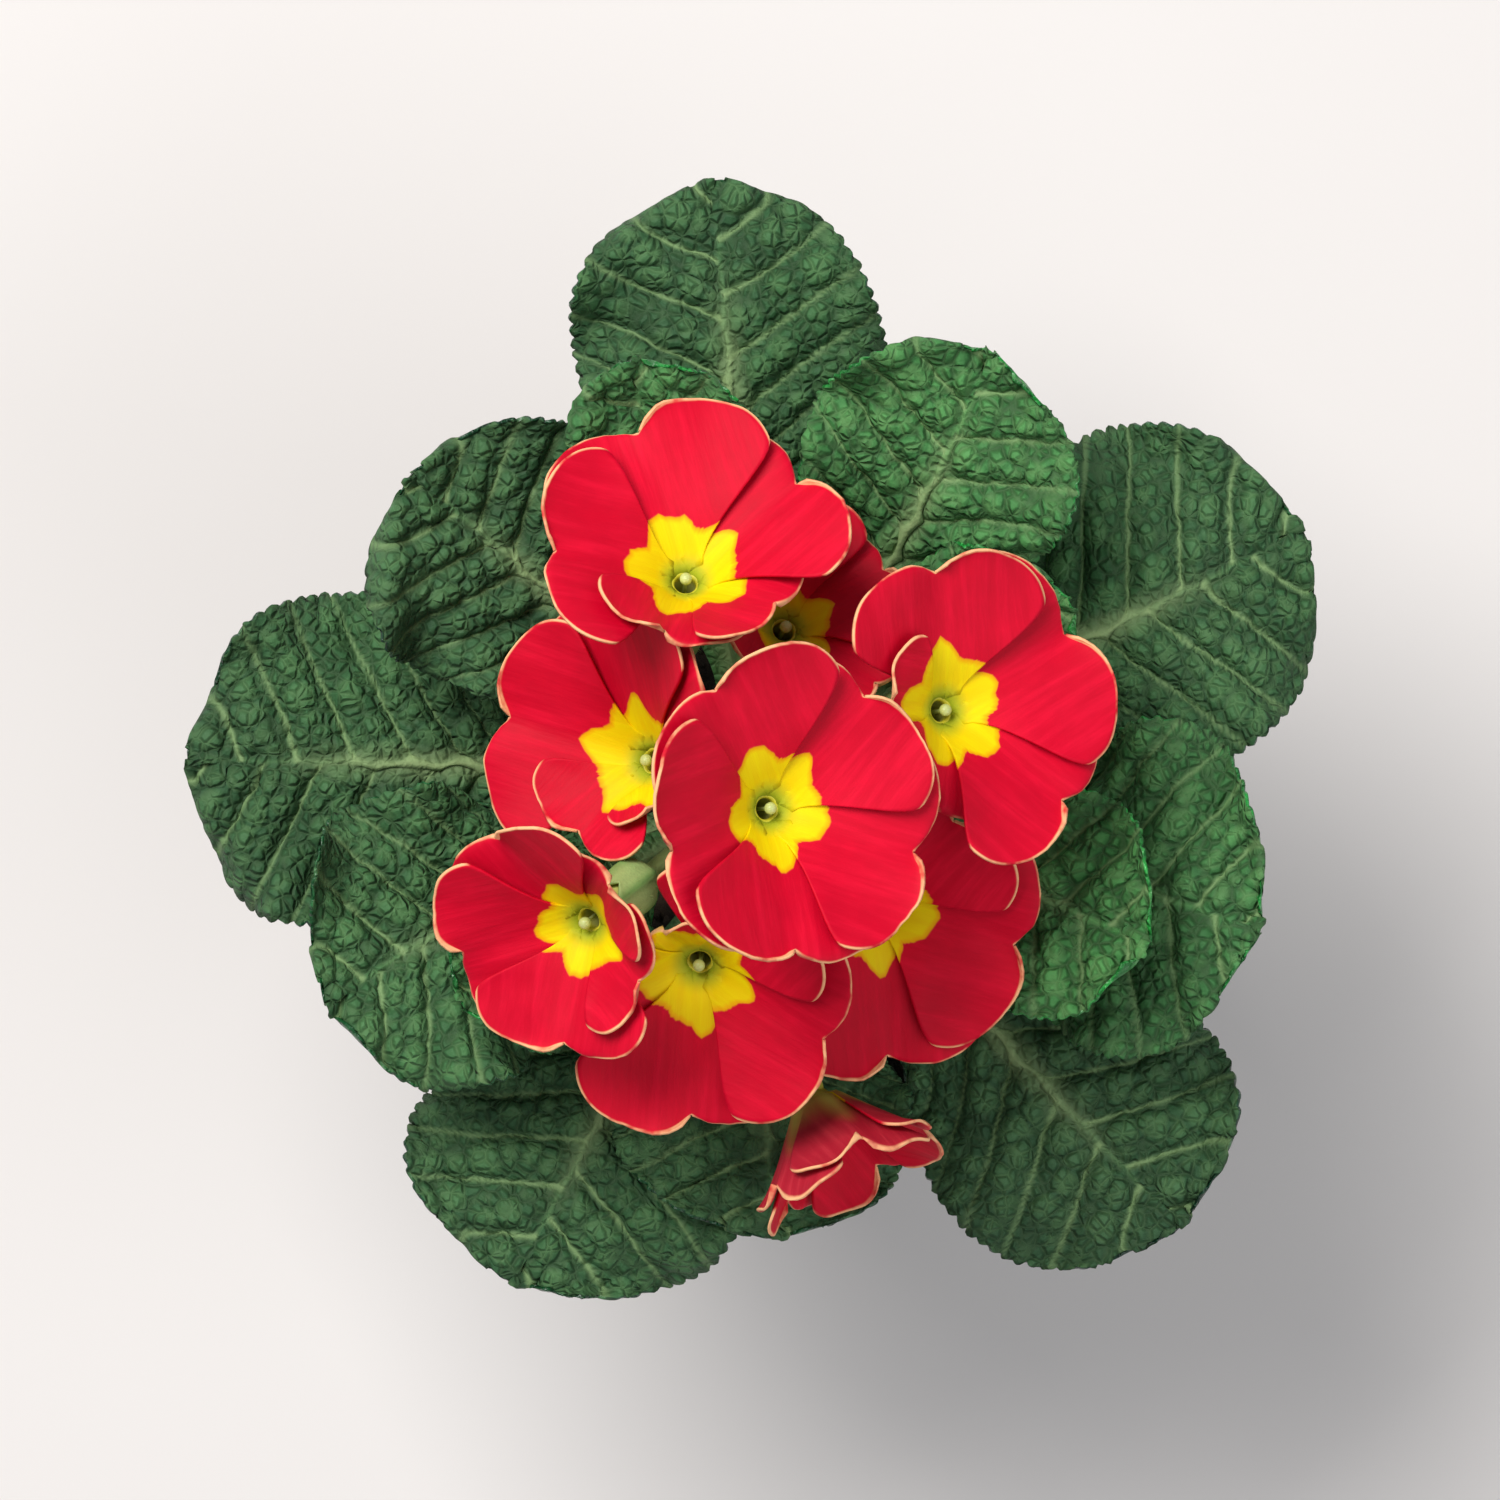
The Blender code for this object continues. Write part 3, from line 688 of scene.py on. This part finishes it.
def pot_profile():
    """Half section of the pot, from the middle of its floor over the rim to its foot."""
    shoulder = POT_HEIGHT - RIM_BAND
    step = RIM_RADIUS - RIM_STEP
    channel = FOOT_RADIUS - FOOT_WIDTH
    inside = [
        (0, FLOOR), (inner_wall(FLOOR) - FLOOR_CORNER, FLOOR),
        (inner_wall(FLOOR + FLOOR_CORNER), FLOOR + FLOOR_CORNER), (inner_wall(shoulder), shoulder),
    ]
    lip = [
        (step - WALL, POT_HEIGHT - 1 * MM), (step - 0.7 * WALL, POT_HEIGHT - 0.3 * MM),
        (step, POT_HEIGHT), (RIM_RADIUS - RIM_ROUND, POT_HEIGHT),
        (RIM_RADIUS - 0.3 * MM, POT_HEIGHT - 0.25 * MM), (RIM_RADIUS, POT_HEIGHT - RIM_ROUND),
    ]
    band = [
        (RIM_RADIUS, shoulder + RIM_ROUND), (RIM_RADIUS - 0.2 * MM, shoulder + 0.3 * MM),
        (RIM_RADIUS - 0.7 * MM, shoulder), (step + 0.15 * MM, shoulder), (step, shoulder - 0.3 * MM),
    ]
    foot = [
        (FOOT_RADIUS + 0.5 * MM, 1.4 * MM), (FOOT_RADIUS + 0.2 * MM, 0.5 * MM),
        (FOOT_RADIUS - 0.6 * MM, 0), (channel, 0), (channel - FOOT_SLOPE, CHANNEL_HEIGHT),
        (BOSS_RADIUS + FOOT_SLOPE, CHANNEL_HEIGHT), (BOSS_RADIUS, 0), (0, 0),
    ]
    return inside + lip + band + foot


def drain_cutter(look):
    """Ring of rods that cut the drain holes."""
    bm = bmesh.new()
    ring = (BOSS_RADIUS + FOOT_RADIUS - FOOT_WIDTH) / 2
    for index in range(DRAIN_HOLES):
        turn = Matrix.Rotation(2 * math.pi * index / DRAIN_HOLES, 4, "Z")
        place = turn @ Matrix.Translation((ring, 0, FLOOR))
        bmesh.ops.create_cone(bm, cap_ends=True, segments=DRAIN_SIDES, radius1=DRAIN_RADIUS,
                              radius2=DRAIN_RADIUS, depth=3 * FLOOR, matrix=place)
    return add_object("drain_holes", finish_mesh("drain_holes", bm, {}), look)


def make_pot(look):
    """Tapered pot with a rounded rim band, a foot ring, a middle boss and drain holes."""
    pot = turned("nursery_pot", pot_profile(), POT_SIDES, look)
    cutter = drain_cutter(look)
    cut = pot.modifiers.new("Drain", "BOOLEAN")
    cut.object = cutter
    apply_modifiers(pot)
    bpy.data.objects.remove(cutter)
    pot.data.set_sharp_from_angle(angle=math.radians(SHARP_DEGREES))
    settle(pot, "pot_plastic", "pot")


# Compost and crown

def soil_ring():
    """Inner and outer radius of the compost's top."""
    return CROWN_RADIUS + GAP, inner_wall(SOIL_TOP) - 2 * GAP


def soil_height(x, y):
    """Height of the compost's lumpy top."""
    place = Vector((x, y, 0))
    lumps = sum(height * MM * noise.noise(place * cells) for height, cells in LUMPS)
    share = (math.hypot(x, y) - CROWN_RADIUS) / (inner_wall(SOIL_TOP) - CROWN_RADIUS)
    return SOIL_TOP + SOIL_MOUND * (1 - share) + lumps


def make_soil(look):
    """Compost with a plain hole for the crown; the top's points start raised, then get lumps."""
    hole, edge = soil_ring()
    hole_floor = CROWN_SHAPE[-1][1] * MM - GAP
    raised = SOIL_TOP + 1 * MM
    first = hole + 0.3 * MM
    span = edge - hole - 0.4 * MM
    profile = [(0, hole_floor), (hole, hole_floor), (hole, SOIL_TOP)]
    profile += [(first + span * step / SOIL_RINGS, raised) for step in range(SOIL_RINGS + 1)]
    profile += [
        (edge, SOIL_TOP - SOIL_CORNER), (inner_wall(FLOOR + SOIL_CORNER) - 2 * GAP, FLOOR + SOIL_CORNER),
        (inner_wall(FLOOR) - SOIL_CORNER - 1 * MM, FLOOR + GAP), (0, FLOOR + GAP),
    ]
    soil = turned("compost_body", profile, SOIL_SIDES, look)
    apply_modifiers(soil)
    for vertex in soil.data.vertices:
        if vertex.co.z > (SOIL_TOP + raised) / 2:
            vertex.co.z = soil_height(vertex.co.x, vertex.co.y)
    settle(soil, "compost", "soil")


def add_crumb(bm, draw, size):
    """One uneven lump, half sunk in the compost's top."""
    hole, edge = soil_ring()
    radius = math.sqrt(draw.uniform((hole + CRUMB_MARGIN) ** 2, (edge - CRUMB_MARGIN) ** 2))
    angle = draw.uniform(0, 2 * math.pi)
    x, y = radius * math.cos(angle), radius * math.sin(angle)
    crumb = draw.uniform(*CRUMB_SIZES) * size * MM
    place = Matrix.Translation((x, y, soil_height(x, y) + 0.2 * crumb))
    form = Matrix.Diagonal((crumb, 0.7 * crumb, 0.6 * crumb, 1))
    turn = Matrix.Rotation(draw.uniform(0, 6), 4, "Z") @ form
    grown = bmesh.ops.create_icosphere(bm, subdivisions=2, radius=1, matrix=place @ turn)["verts"]
    for vertex in grown:
        vertex.co += 0.25 * crumb * noise.noise_vector(vertex.co * CRUMB_PITS)


def make_crumbs(look, white):
    """Crumbs of compost and a few grains of perlite on its top."""
    draw = random.Random(CRUMB_SEED)
    noise.seed_set(CRUMB_SEED)
    grains = round(CRUMBS * PERLITE_SHARE)
    for name, material, count, size in (("compost_crumbs", look, CRUMBS, 1.0),
                                        ("perlite_grains", white, grains, PERLITE_SIZE)):
        bm = bmesh.new()
        for _ in range(count):
            add_crumb(bm, draw, size)
        settle(add_object(name, finish_mesh(name, bm, {}), material), "compost")


def crown_surface(height):
    """Radius of the crown at a height."""
    for (r_high, z_high), (r_low, z_low) in zip(CROWN_SHAPE, CROWN_SHAPE[1:]):
        if z_low * MM <= height <= z_high * MM:
            share = (z_high * MM - height) / ((z_high - z_low) * MM)
            return (r_high + (r_low - r_high) * share) * MM
    return CROWN_RADIUS


def crown_height(radius):
    """Height of the crown's top at a radius."""
    for (r_high, z_high), (r_low, z_low) in zip(CROWN_SHAPE, CROWN_SHAPE[1:]):
        if r_high * MM <= radius <= r_low * MM:
            share = (radius - r_high * MM) / ((r_low - r_high) * MM)
            return (z_high + (z_low - z_high) * share) * MM
    return CROWN_SHAPE[0][1] * MM


def make_crown(look):
    """Short rootstock with knobs where old leaves stood."""
    top, foot = CROWN_SHAPE[0][1], CROWN_SHAPE[-1][1]
    profile = [(0, top * MM)]
    for level in range(top - 1, foot - 1, -1):
        profile.append((crown_surface(level * MM), level * MM))
    profile.append((0, foot * MM))
    crown = turned("rootstock", profile, CROWN_SIDES, look)
    apply_modifiers(crown)
    for vertex in crown.data.vertices:
        out = Vector((vertex.co.x, vertex.co.y, 0))
        if out.length > 1 * MM and vertex.co.z > (foot + 1) * MM:
            sunk = 0.5 + 0.5 * noise.noise(vertex.co * KNOBS)
            vertex.co -= out.normalized() * KNOB_DEPTH * sunk
    settle(crown, "rootstock", "crown")


# Leaves

def leaf_half_width(share, width):
    """Half width of a leaf: a winged stalk that swells to a blade with a round tip."""
    swell = smooth((share - SWELL_START) / SWELL_SPAN)
    closing = max(share - TIP_START, 0) / (1 - TIP_START)
    fullness = swell * math.sqrt(1 - closing ** TIP_FULLNESS)
    return STALK_WIDTH / 2 + (width / 2 - STALK_WIDTH / 2) * fullness


def leaf_edge(share, side, opened):
    """Factor on a leaf's half width that cuts small round teeth into its edge."""
    tooth = abs(math.sin(math.pi * TEETH * share)) - 0.5
    return 1 + TOOTH_SHARE * tooth * smooth((side - TOOTH_ROOT) / (1 - TOOTH_ROOT)) * opened


def leaf_veins(blade, across, out, flat, shift, length, veins):
    """Lateral veins, pillows between them and net cells at a point of a blade, each 0 to 1."""
    lean = LATERAL_LEAN * abs(across) ** 1.15 + 0.014 * noise.noise(flat * 110 + shift)
    staggered = 0.4 if across > 0 else 0.0
    beat = veins * (blade - lean * (1 - 0.5 * blade)) + staggered
    off = abs((beat + 0.5) % 1 - 0.5)
    spacing = (1 - STALK_SHARE) * length / veins
    lateral = math.exp(-(off * spacing / VEIN_WIDTH) ** 2) * (1 - 0.5 * abs(across))
    beside_rib = max(smooth(out / (2.6 * MM)), smooth((blade - 0.84) / 0.14))
    pillow = smooth(min(off / 0.34, 1)) * beside_rib
    near, far = noise.voronoi(flat / NET_CELL + shift * 3)[0][:2]
    cell = smooth(min((far - near) / 0.42, 1))
    return lateral, pillow, cell


def leaf_rib(blade, out):
    """Strength of the middle rib at a distance from it, fading towards the tip."""
    width = RIB_WIDTH - RIB_TAPER * blade
    return math.exp(-(out / width) ** 2) * (1 - smooth((blade - 0.8) / 0.16))


def leaf_quilt(side, out, flat, shift, pillow, cell):
    """Height of the pillows, their fine net and slow buckles of a blade."""
    relief = QUILT * (pillow - 0.5) * (1 - 0.35 * side)
    relief += NET_HEIGHT * (cell - 0.6) * smooth(min(out / (2 * MM), 1))
    return relief + BUCKLE * noise.noise(flat * 45 + shift)


def leaf_wave(blade, across, phase, wave):
    """Height of the waves along a leaf's edge."""
    swing = math.sin(4.5 * math.pi * blade + phase * across)
    swing += 0.5 * math.sin(17 * blade + 5 * across + phase)
    return EDGE_WAVE * wave * MM * abs(across) ** 3 * swing * smooth(blade / 0.3)


def leaf_place(numbers, seed):
    """Function that gives a point of a leaf's upper face, and what its material needs."""
    azimuth, reach, width, foot, rise, arch, fold, wave, tone = numbers
    start = crown_surface(foot * MM) + GAP
    length = reach * MM - start
    incline = math.tan(math.radians(rise))
    phase = math.radians(azimuth) + 1
    draw = random.Random(seed)
    bend = draw.uniform(-BEND, BEND)
    shift = Vector((draw.uniform(0, 9), draw.uniform(0, 9), draw.uniform(0, 9)))
    veins = LATERALS - (SMALL_LEAF_LACKS if width < SMALL_LEAF else 0)

    def place(_, column, row):
        share = BLADE_END * math.sin(0.5 * math.pi * row)
        across = column * (0.7 + 0.3 * column ** 2)
        side = abs(across)
        blade = max(share - STALK_SHARE, 0) / (1 - STALK_SHARE)
        opened = smooth(blade / 0.25)
        half = leaf_half_width(share, width * MM) * leaf_edge(share, side, opened)
        lobe = Vector((3.5 * share, math.copysign(2.5, across), 0)) + shift
        half *= 1 + LOBE_DEPTH * noise.noise(lobe) * smooth(side / 0.5) * opened
        along = share + VEIN_SWEEP * side * smooth(share / 0.3) * (1 - share)
        along -= TIP_ROUNDING * side ** 2 * share ** 6
        out = abs(half * across)
        flat = Vector((length * along, half * across, 0))
        lateral, pillow, cell = leaf_veins(blade, across, out, flat, shift, length, veins)
        rib = leaf_rib(blade, out)
        relief = leaf_quilt(side, out, flat, shift, pillow, cell) + RIB_RISE * rib
        relief = relief * opened + fold * MM * side ** 2 * smooth(blade / 0.6)
        relief += leaf_wave(blade, across, phase, wave)
        slope = incline - 2 * arch * along
        normal = Vector((-slope, 0, 1)).normalized()
        aside = half * across + bend * math.sin(math.pi * share)
        height = foot * MM + length * (incline * along - arch * along ** 2)
        facts = {
            "tone": tone + 0.12 * noise.noise(flat * 60 - shift),
            "vein": lateral * opened,
            # Painted shade mask: strongest in the hollows between pillows and net cells, off the veins
            # and rib.
            "painted_hollow_shade": (1 - pillow * cell) * opened * (1 - lateral) * (1 - rib),
            "rib": max(rib * (1 - 0.3 * blade), 0.7 * (1 - smooth(blade / 0.12))),
            "thick": max(1 - 1.6 * out / STALK_WIDTH, 0) ** 1.5 * (1 - smooth((blade - 0.35) / 0.5)),
        }
        return Vector((start + length * along, aside, height)) + normal * relief, facts

    return place


def make_leaf(name, numbers, top, under):
    """One quilted leaf with a waved, toothed edge, thickest along its rib."""
    mesh = grid_mesh(name + "_blade", BLADE_COLUMNS, BLADE_ROWS, leaf_place(numbers, name))
    made = add_object(name + "_blade", mesh, top, under)
    rib = made.vertex_groups.new(name="rib")
    for index, value in enumerate(mesh.attributes["thick"].data):
        rib.add([index], value.value, "REPLACE")
    shell = thicken(made, RIB_THICKNESS, -1, 1)
    shell.vertex_group = "rib"
    shell.thickness_vertex_group = BLADE_THICKNESS / RIB_THICKNESS
    made.matrix_world = Matrix.Rotation(math.radians(numbers[0]), 4, "Z")
    settle(made, "leaf", name)


# Blooms

def petal_height(radius, cup):
    """Height of a bloom's face over its throat: a small funnel, then a cup."""
    out = max(radius - PETAL_START, 0)
    return out * math.tan(math.radians(cup)) + FUNNEL_RISE * (1 - math.exp(-out / FUNNEL_SPREAD))


def petal_lengths(name, numbers):
    """Lengths of a bloom's petals: they differ a little, and are shorter where it is crowded."""
    draw = random.Random(name)
    spin, crowded, give = numbers[7:10]
    lengths = []
    for index in range(PETALS):
        heading = math.radians(90 + 360 * index / PETALS + spin - crowded)
        squeeze = give * max(math.cos(heading), 0)
        lengths.append(numbers[6] * MM * draw.uniform(0.96, 1.03) * (1 - squeeze))
    return lengths


def bloom_matrix(numbers):
    """Place and lean of a bloom: local +Z is the way it faces."""
    x, y, z, azimuth, lean = numbers[:5]
    spin = numbers[7]
    turn = Matrix.Rotation(math.radians(azimuth), 4, "Z")
    tip = Matrix.Rotation(math.radians(lean), 4, "Y")
    around = Matrix.Rotation(math.radians(spin - azimuth), 4, "Z")
    return Matrix.Translation((x * MM, y * MM, z * MM)) @ turn @ tip @ around


def petal_edge(share, across, flat, broad):
    """Half width of a petal as a share of its broadest, and the distance to its edge."""
    swell = PETAL_BASE + (1 - PETAL_BASE) * smooth(share / PETAL_BROADEST)
    if share <= ROUND_START:
        return swell, (1 - abs(across)) * swell * broad
    ahead = (share - ROUND_START) / (1 - ROUND_START)
    half = (1 - ahead ** ROUNDNESS) ** (1 / ROUNDNESS)
    aside = abs(across) * half
    reached = (ahead ** ROUNDNESS + aside ** ROUNDNESS) ** (1 / ROUNDNESS)
    lengthwise = ahead ** (ROUNDNESS - 1) / (flat * (1 - ROUND_START))
    sideways = aside ** (ROUNDNESS - 1) / broad
    steepness = math.hypot(lengthwise, sideways) * reached ** (1 - ROUNDNESS)
    return swell * half, (1 - reached) / max(steepness, 1)


def petal_outline(share, aside, copy, phase):
    """Factor on a petal's length: a notch at its middle and a slightly uneven edge."""
    crinkle = 0.014 * noise.noise(Vector((3.5 * aside, phase, copy)))
    crinkle += 0.008 * noise.noise(Vector((13 * aside, phase, copy)))
    notch = NOTCH * math.exp(-abs(aside / NOTCH_WIDTH) ** 1.3)
    return 1 + (crinkle - notch) * smooth((share - 0.3) / 0.7)


def petal_waves(share, across, aside, ruffle, phase):
    """Height of a petal's twist over its neighbour, ruffles, ripples and middle crease."""
    height = PETAL_TWIST * across * smooth((share - 0.02) / 0.35)
    height += ruffle * math.sin(3 * aside + phase) * share ** 3
    height += RIPPLE * math.sin(7 * aside + 2 * phase) * smooth((share - 0.55) / 0.45)
    return height - CREASE * math.exp(-(aside / 0.16) ** 2) * smooth(share / 0.5)


def star_radius(angle, copy, star):
    """Radius of the yellow star at an angle on a petal, as a share of the eye's."""
    turn, wobble, bulge = star
    point = 1 - abs(math.asin(math.sin(2.5 * (angle - turn)))) / (math.pi / 2)
    radius = STAR_VALLEY + STAR_POINT * point ** 1.3 + 0.05 * math.sin(9 * angle + wobble) + bulge
    return radius + 0.05 * noise.noise(Vector((14 * angle, wobble, copy)))


def petals_place(name, numbers):
    """Function that gives a point of one of a bloom's petals, and what its material needs."""
    cup = numbers[5]
    grown = numbers[6] / FULL_PETAL
    lengths = petal_lengths(name, numbers)
    draw = random.Random(name)
    waves = [(draw.uniform(0.2, 0.7) * MM, draw.uniform(0, 6)) for _ in lengths]
    stars = [(draw.uniform(-0.1, 0.1), draw.uniform(0, 6), draw.uniform(-0.07, 0.07)) for _ in lengths]

    def place(copy, across, row):
        share = PETAL_END * math.sin(0.5 * math.pi * row)
        ruffle, phase = waves[copy]
        flat = lengths[copy] * math.cos(math.radians(cup))
        broad = PETAL_SPREAD * flat
        half, rim = petal_edge(share, across, flat, broad)
        aside = across * half
        outline = petal_outline(share, aside, copy, phase)
        outward = PETAL_INNER + (flat - PETAL_INNER) * share * outline
        radius = math.hypot(outward, broad * aside)
        height = petal_height(radius, cup) - THROAT_DIP * math.exp((PETAL_INNER - radius) / THROAT_BEND)
        height += petal_waves(share, across, aside, ruffle, phase)
        star = star_radius(math.atan2(broad * aside, outward), copy, stars[copy])
        facts = {
            "across": aside,
            "share": share,
            "petal": 3.7 * copy + 11 * grown,
            "out_mm": radius / MM,
            "eye_mm": EYE_RADIUS / MM * grown * star,
            "rim_mm": rim / MM + 1 - smooth((share - 0.3) / 0.25),
        }
        turn = Matrix.Rotation(2 * math.pi * copy / PETALS, 3, "Z")
        return turn @ Vector((broad * aside, outward, height)), facts

    return place


def make_petals(name, numbers, face, back):
    """Five thin overlapping petals round the throat."""
    node = name + "_petals"
    mesh = grid_mesh(name + "_corolla", PETAL_COLUMNS, PETAL_ROWS, petals_place(node, numbers), PETALS)
    made = add_object(name + "_corolla", mesh, face, back)
    thicken(made, PETAL_THICKNESS, 0, 1)
    made.matrix_world = bloom_matrix(numbers)
    settle(made, "petal", node)


def make_tube(name, numbers, look):
    """Tube that narrows to its mouth and opens into the petals."""
    rings = level_rings(TUBE_OUTLINE, RING_SIDES)
    levels = [level for _, _, level in TUBE_OUTLINE for _ in range(RING_SIDES)]
    made = add_object(name + "_tube", loft_mesh(name + "_tube", rings, {"level": levels}, False), look)
    thicken(made, TUBE_WALL, 0)
    made.matrix_world = bloom_matrix(numbers)
    settle(made, "eye", name + "_eye")


def make_pistil(name, numbers, look):
    """Style with its round head, standing in the tube's mouth."""
    rings = level_rings(PISTIL_OUTLINE, PISTIL_SIDES)
    made = add_object(name + "_pistil", loft_mesh(name + "_pistil", rings, {}, True), look)
    made.matrix_world = bloom_matrix(numbers)
    settle(made, "calyx")


def stalk_foot(numbers):
    """Where a bloom's stalk stands on the crown: out on the side the bloom lies to."""
    place = Vector((numbers[0] * MM, numbers[1] * MM, 0))
    out = min(STALK_LEAD * place.length, STALK_RING_RADIUS)
    side = place.normalized() * out
    return side + Vector((0, 0, crown_height(max(out - STALK_RADIUS, 0)) + GAP))


def stalk_curve(start, finish, facing, share):
    """Point and direction along a bloom's stalk, from the crown to the calyx."""
    reach = (finish - start).length
    first = start + Vector((0, 0, 0.45 * reach))
    second = finish - facing * 0.35 * reach
    rest = 1 - share
    point = (rest ** 3 * start + 3 * rest ** 2 * share * first
             + 3 * rest * share ** 2 * second + share ** 3 * finish)
    direction = (rest ** 2 * (first - start) + 2 * rest * share * (second - first)
                 + share ** 2 * (finish - second))
    return point, direction.normalized()


def stalk_rings(foot, finish, facing, turn):
    """Rings of a stalk, each with its level and ribs, turned to meet the calyx."""
    rings = []
    for step in range(STALK_RINGS + 1):
        level = step / STALK_RINGS
        point, direction = stalk_curve(foot, finish, facing, level)
        frame = direction.to_track_quat("Z", "X").to_matrix()
        align = frame.inverted() @ turn
        spin = math.atan2(align[1][0] - align[0][1], align[0][0] + align[1][1])
        frame = frame @ Matrix.Rotation(spin, 3, "Z")
        swell = 1 + 0.06 * noise.noise(point * 300)
        points = ring_points(point, frame, [STALK_RADIUS * swell] * RING_SIDES)
        rings.append((points, level, [0.0] * RING_SIDES))
    return rings


def calyx_rings(bottom, facing, turn):
    """Rings of a calyx: up its ribbed outside to five teeth, and down its plain inside."""
    angles = [2 * math.pi * index / RING_SIDES for index in range(RING_SIDES)]
    ribs = [max(math.cos(PETALS * angle), 0) ** 2 for angle in angles]
    beats = [(PETALS * angle / (2 * math.pi) + 0.5) % 1 for angle in angles]
    teeth = [TOOTH * (1 - abs(beat - 0.5) * 2) for beat in beats]
    inner = TUBE_RADIUS + GAP
    outer = inner + CALYX_WALL

    def level_ring(height, radii):
        return ring_points(bottom + facing * height, turn, radii)

    def toothed(radii, share):
        points = level_ring(CALYX_LENGTH - TOOTH, radii)
        return [point + facing * share * tooth for point, tooth in zip(points, teeth)]

    rings = []
    for height, swell in CALYX_SWELLS:
        rings.append(level_ring(height * MM, [swell * (outer + CALYX_RIB * rib) for rib in ribs]))
    for share in TOOTH_STEPS:
        rings.append(toothed([outer + CALYX_RIB * rib * (1 - 0.7 * share) for rib in ribs], share))
    rings.append(toothed([inner + 0.1 * MM] * RING_SIDES, 1.0))
    rings.append(toothed([inner] * RING_SIDES, 0.0))
    rings.append(level_ring(CALYX_FLOOR, [inner] * RING_SIDES))
    return [(points, 1.0, ribs) for points in rings]


def make_stalk(name, numbers, look):
    """Ribbed calyx with five teeth on its stalk; returns the rings that hairs grow on."""
    place = bloom_matrix(numbers)
    turn = place.to_3x3()
    facing = (turn @ Vector((0, 0, 1))).normalized()
    bottom = place @ Vector((0, 0, -TUBE_LENGTH - CALYX_FOOT))
    finish = bottom - facing * 1 * MM
    rings = stalk_rings(stalk_foot(numbers), finish, facing, turn)
    rings += calyx_rings(bottom, facing, turn)
    points = [ring for ring, _, _ in rings]
    values = {
        "rib": [rib for _, _, ribs in rings for rib in ribs],
        "level": [level for _, level, _ in rings for _ in range(RING_SIDES)],
    }
    made = add_object(name + "_stalk", loft_mesh(name + "_stalk", points, values, True), look)
    settle(made, "calyx", name + "_calyx")
    return points[:STALK_RINGS + 1 + len(CALYX_SWELLS)]


def add_hair(bm, draw, stalk):
    """One fine hair: a thin three-sided spike on the side of a stalk or calyx."""
    ring = draw.randrange(2, len(stalk) - 1)
    index = draw.randrange(RING_SIDES)
    here, along = stalk[ring][index], stalk[ring + 1][index] - stalk[ring][index]
    up = along.normalized()
    out = (here - sum(stalk[ring], Vector()) / RING_SIDES).normalized()
    root = here + along * draw.random() - out * HAIR_DEPTH
    tip = root + out * HAIR_LENGTH * draw.uniform(0.6, 1) + up * draw.uniform(-0.2, 0.3) * MM
    across = out.cross(along).normalized() * HAIR_WIDTH
    corners = [bm.verts.new(root + step) for step in (across, -across, up * HAIR_WIDTH * 1.7)]
    point = bm.verts.new(tip)
    bm.faces.new(corners)
    for low, high in ((0, 1), (1, 2), (2, 0)):
        bm.faces.new((corners[high], corners[low], point))


def make_down(stalks, look):
    """Fine upright hairs over every stalk and calyx."""
    draw = random.Random(11)
    bm = bmesh.new()
    for stalk in stalks:
        for _ in range(HAIRS):
            add_hair(bm, draw, stalk)
    bmesh.ops.recalc_face_normals(bm, faces=bm.faces[:])
    values = {"rib": [0.0] * len(bm.verts), "level": [1.0] * len(bm.verts)}
    settle(add_object("stalk_down", finish_mesh("stalk_down", bm, values), look), "calyx")


# Surroundings

def add_light(name, place, size, power, colour):
    """Soft square light that points at the blooms."""
    lamp = bpy.data.lights.new(name, "AREA")
    lamp.size = size
    lamp.energy = power
    lamp.color = colour
    made = bpy.data.objects.new(name, lamp)
    made.location = place
    made.rotation_euler = (LIGHT_AIM - Vector(place)).to_track_quat("-Z", "Y").to_euler()
    bpy.context.scene.collection.objects.link(made)


def make_floor():
    """Pale floor under the pot."""
    bm = bmesh.new()
    bmesh.ops.create_grid(bm, x_segments=8, y_segments=8, size=1.5)
    add_object("floor", finish_mesh("floor", bm, {}), floor_finish())


def make_lights():
    """Light as from a large window, a weak fill from the other side, and a soft room."""
    add_light("window", (-0.42, 0.48, 1.0), 0.6, 13.5, (1.0, 0.985, 0.96))
    add_light("fill", (0.7, -0.35, 0.8), 0.9, 4, (0.96, 0.98, 1.0))
    world = bpy.data.worlds.new("soft_room")
    world.use_nodes = True
    sky = world.node_tree.nodes["Background"].inputs
    sky["Color"].default_value = (0.93, 0.95, 1.0, 1)
    sky["Strength"].default_value = 0.28
    bpy.context.scene.world = world


def make_camera():
    """Camera straight above the bunch, with plain colours."""
    scene = bpy.context.scene
    lens = bpy.data.cameras.new("overhead")
    lens.lens = CAMERA_LENS
    camera = bpy.data.objects.new("overhead", lens)
    camera.location = CAMERA_PLACE
    scene.collection.objects.link(camera)
    scene.camera = camera
    scene.view_settings.view_transform = "Standard"


def make_leaves(mottle, grain):
    """Every leaf of the rosette."""
    top = leaf_finish("leaf_top", mottle, grain, False)
    under = leaf_finish("leaf_underside", mottle, grain, True)
    for name, numbers in LEAVES.items():
        make_leaf(name, numbers, top, under)


def make_blooms(mottle, grain):
    """Every bloom with its tube, pistil, calyx and stalk, and the down on them."""
    face = petal_finish("petal_face", mottle, False)
    back = petal_finish("petal_back", mottle, True)
    throat, stigma, green = throat_finish(), stigma_finish(grain), stalk_finish(mottle, grain)
    stalks = []
    for name, numbers in BLOOMS.items():
        make_petals(name, numbers, face, back)
        make_tube(name, numbers, throat)
        make_pistil(name, numbers, stigma)
        stalks.append(make_stalk(name, numbers, green))
    make_down(stalks, green)


def main():
    """Dress the solids piece by piece."""
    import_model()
    mottle, grain = mottle_group(), grain_group()
    compost = compost_finish(mottle, grain)
    make_pot(plastic_finish(mottle, grain))
    make_soil(compost)
    make_crumbs(compost, perlite_finish())
    make_crown(rootstock_finish(mottle, grain))
    make_leaves(mottle, grain)
    make_blooms(mottle, grain)
    make_floor()
    make_lights()
    make_camera()


main()
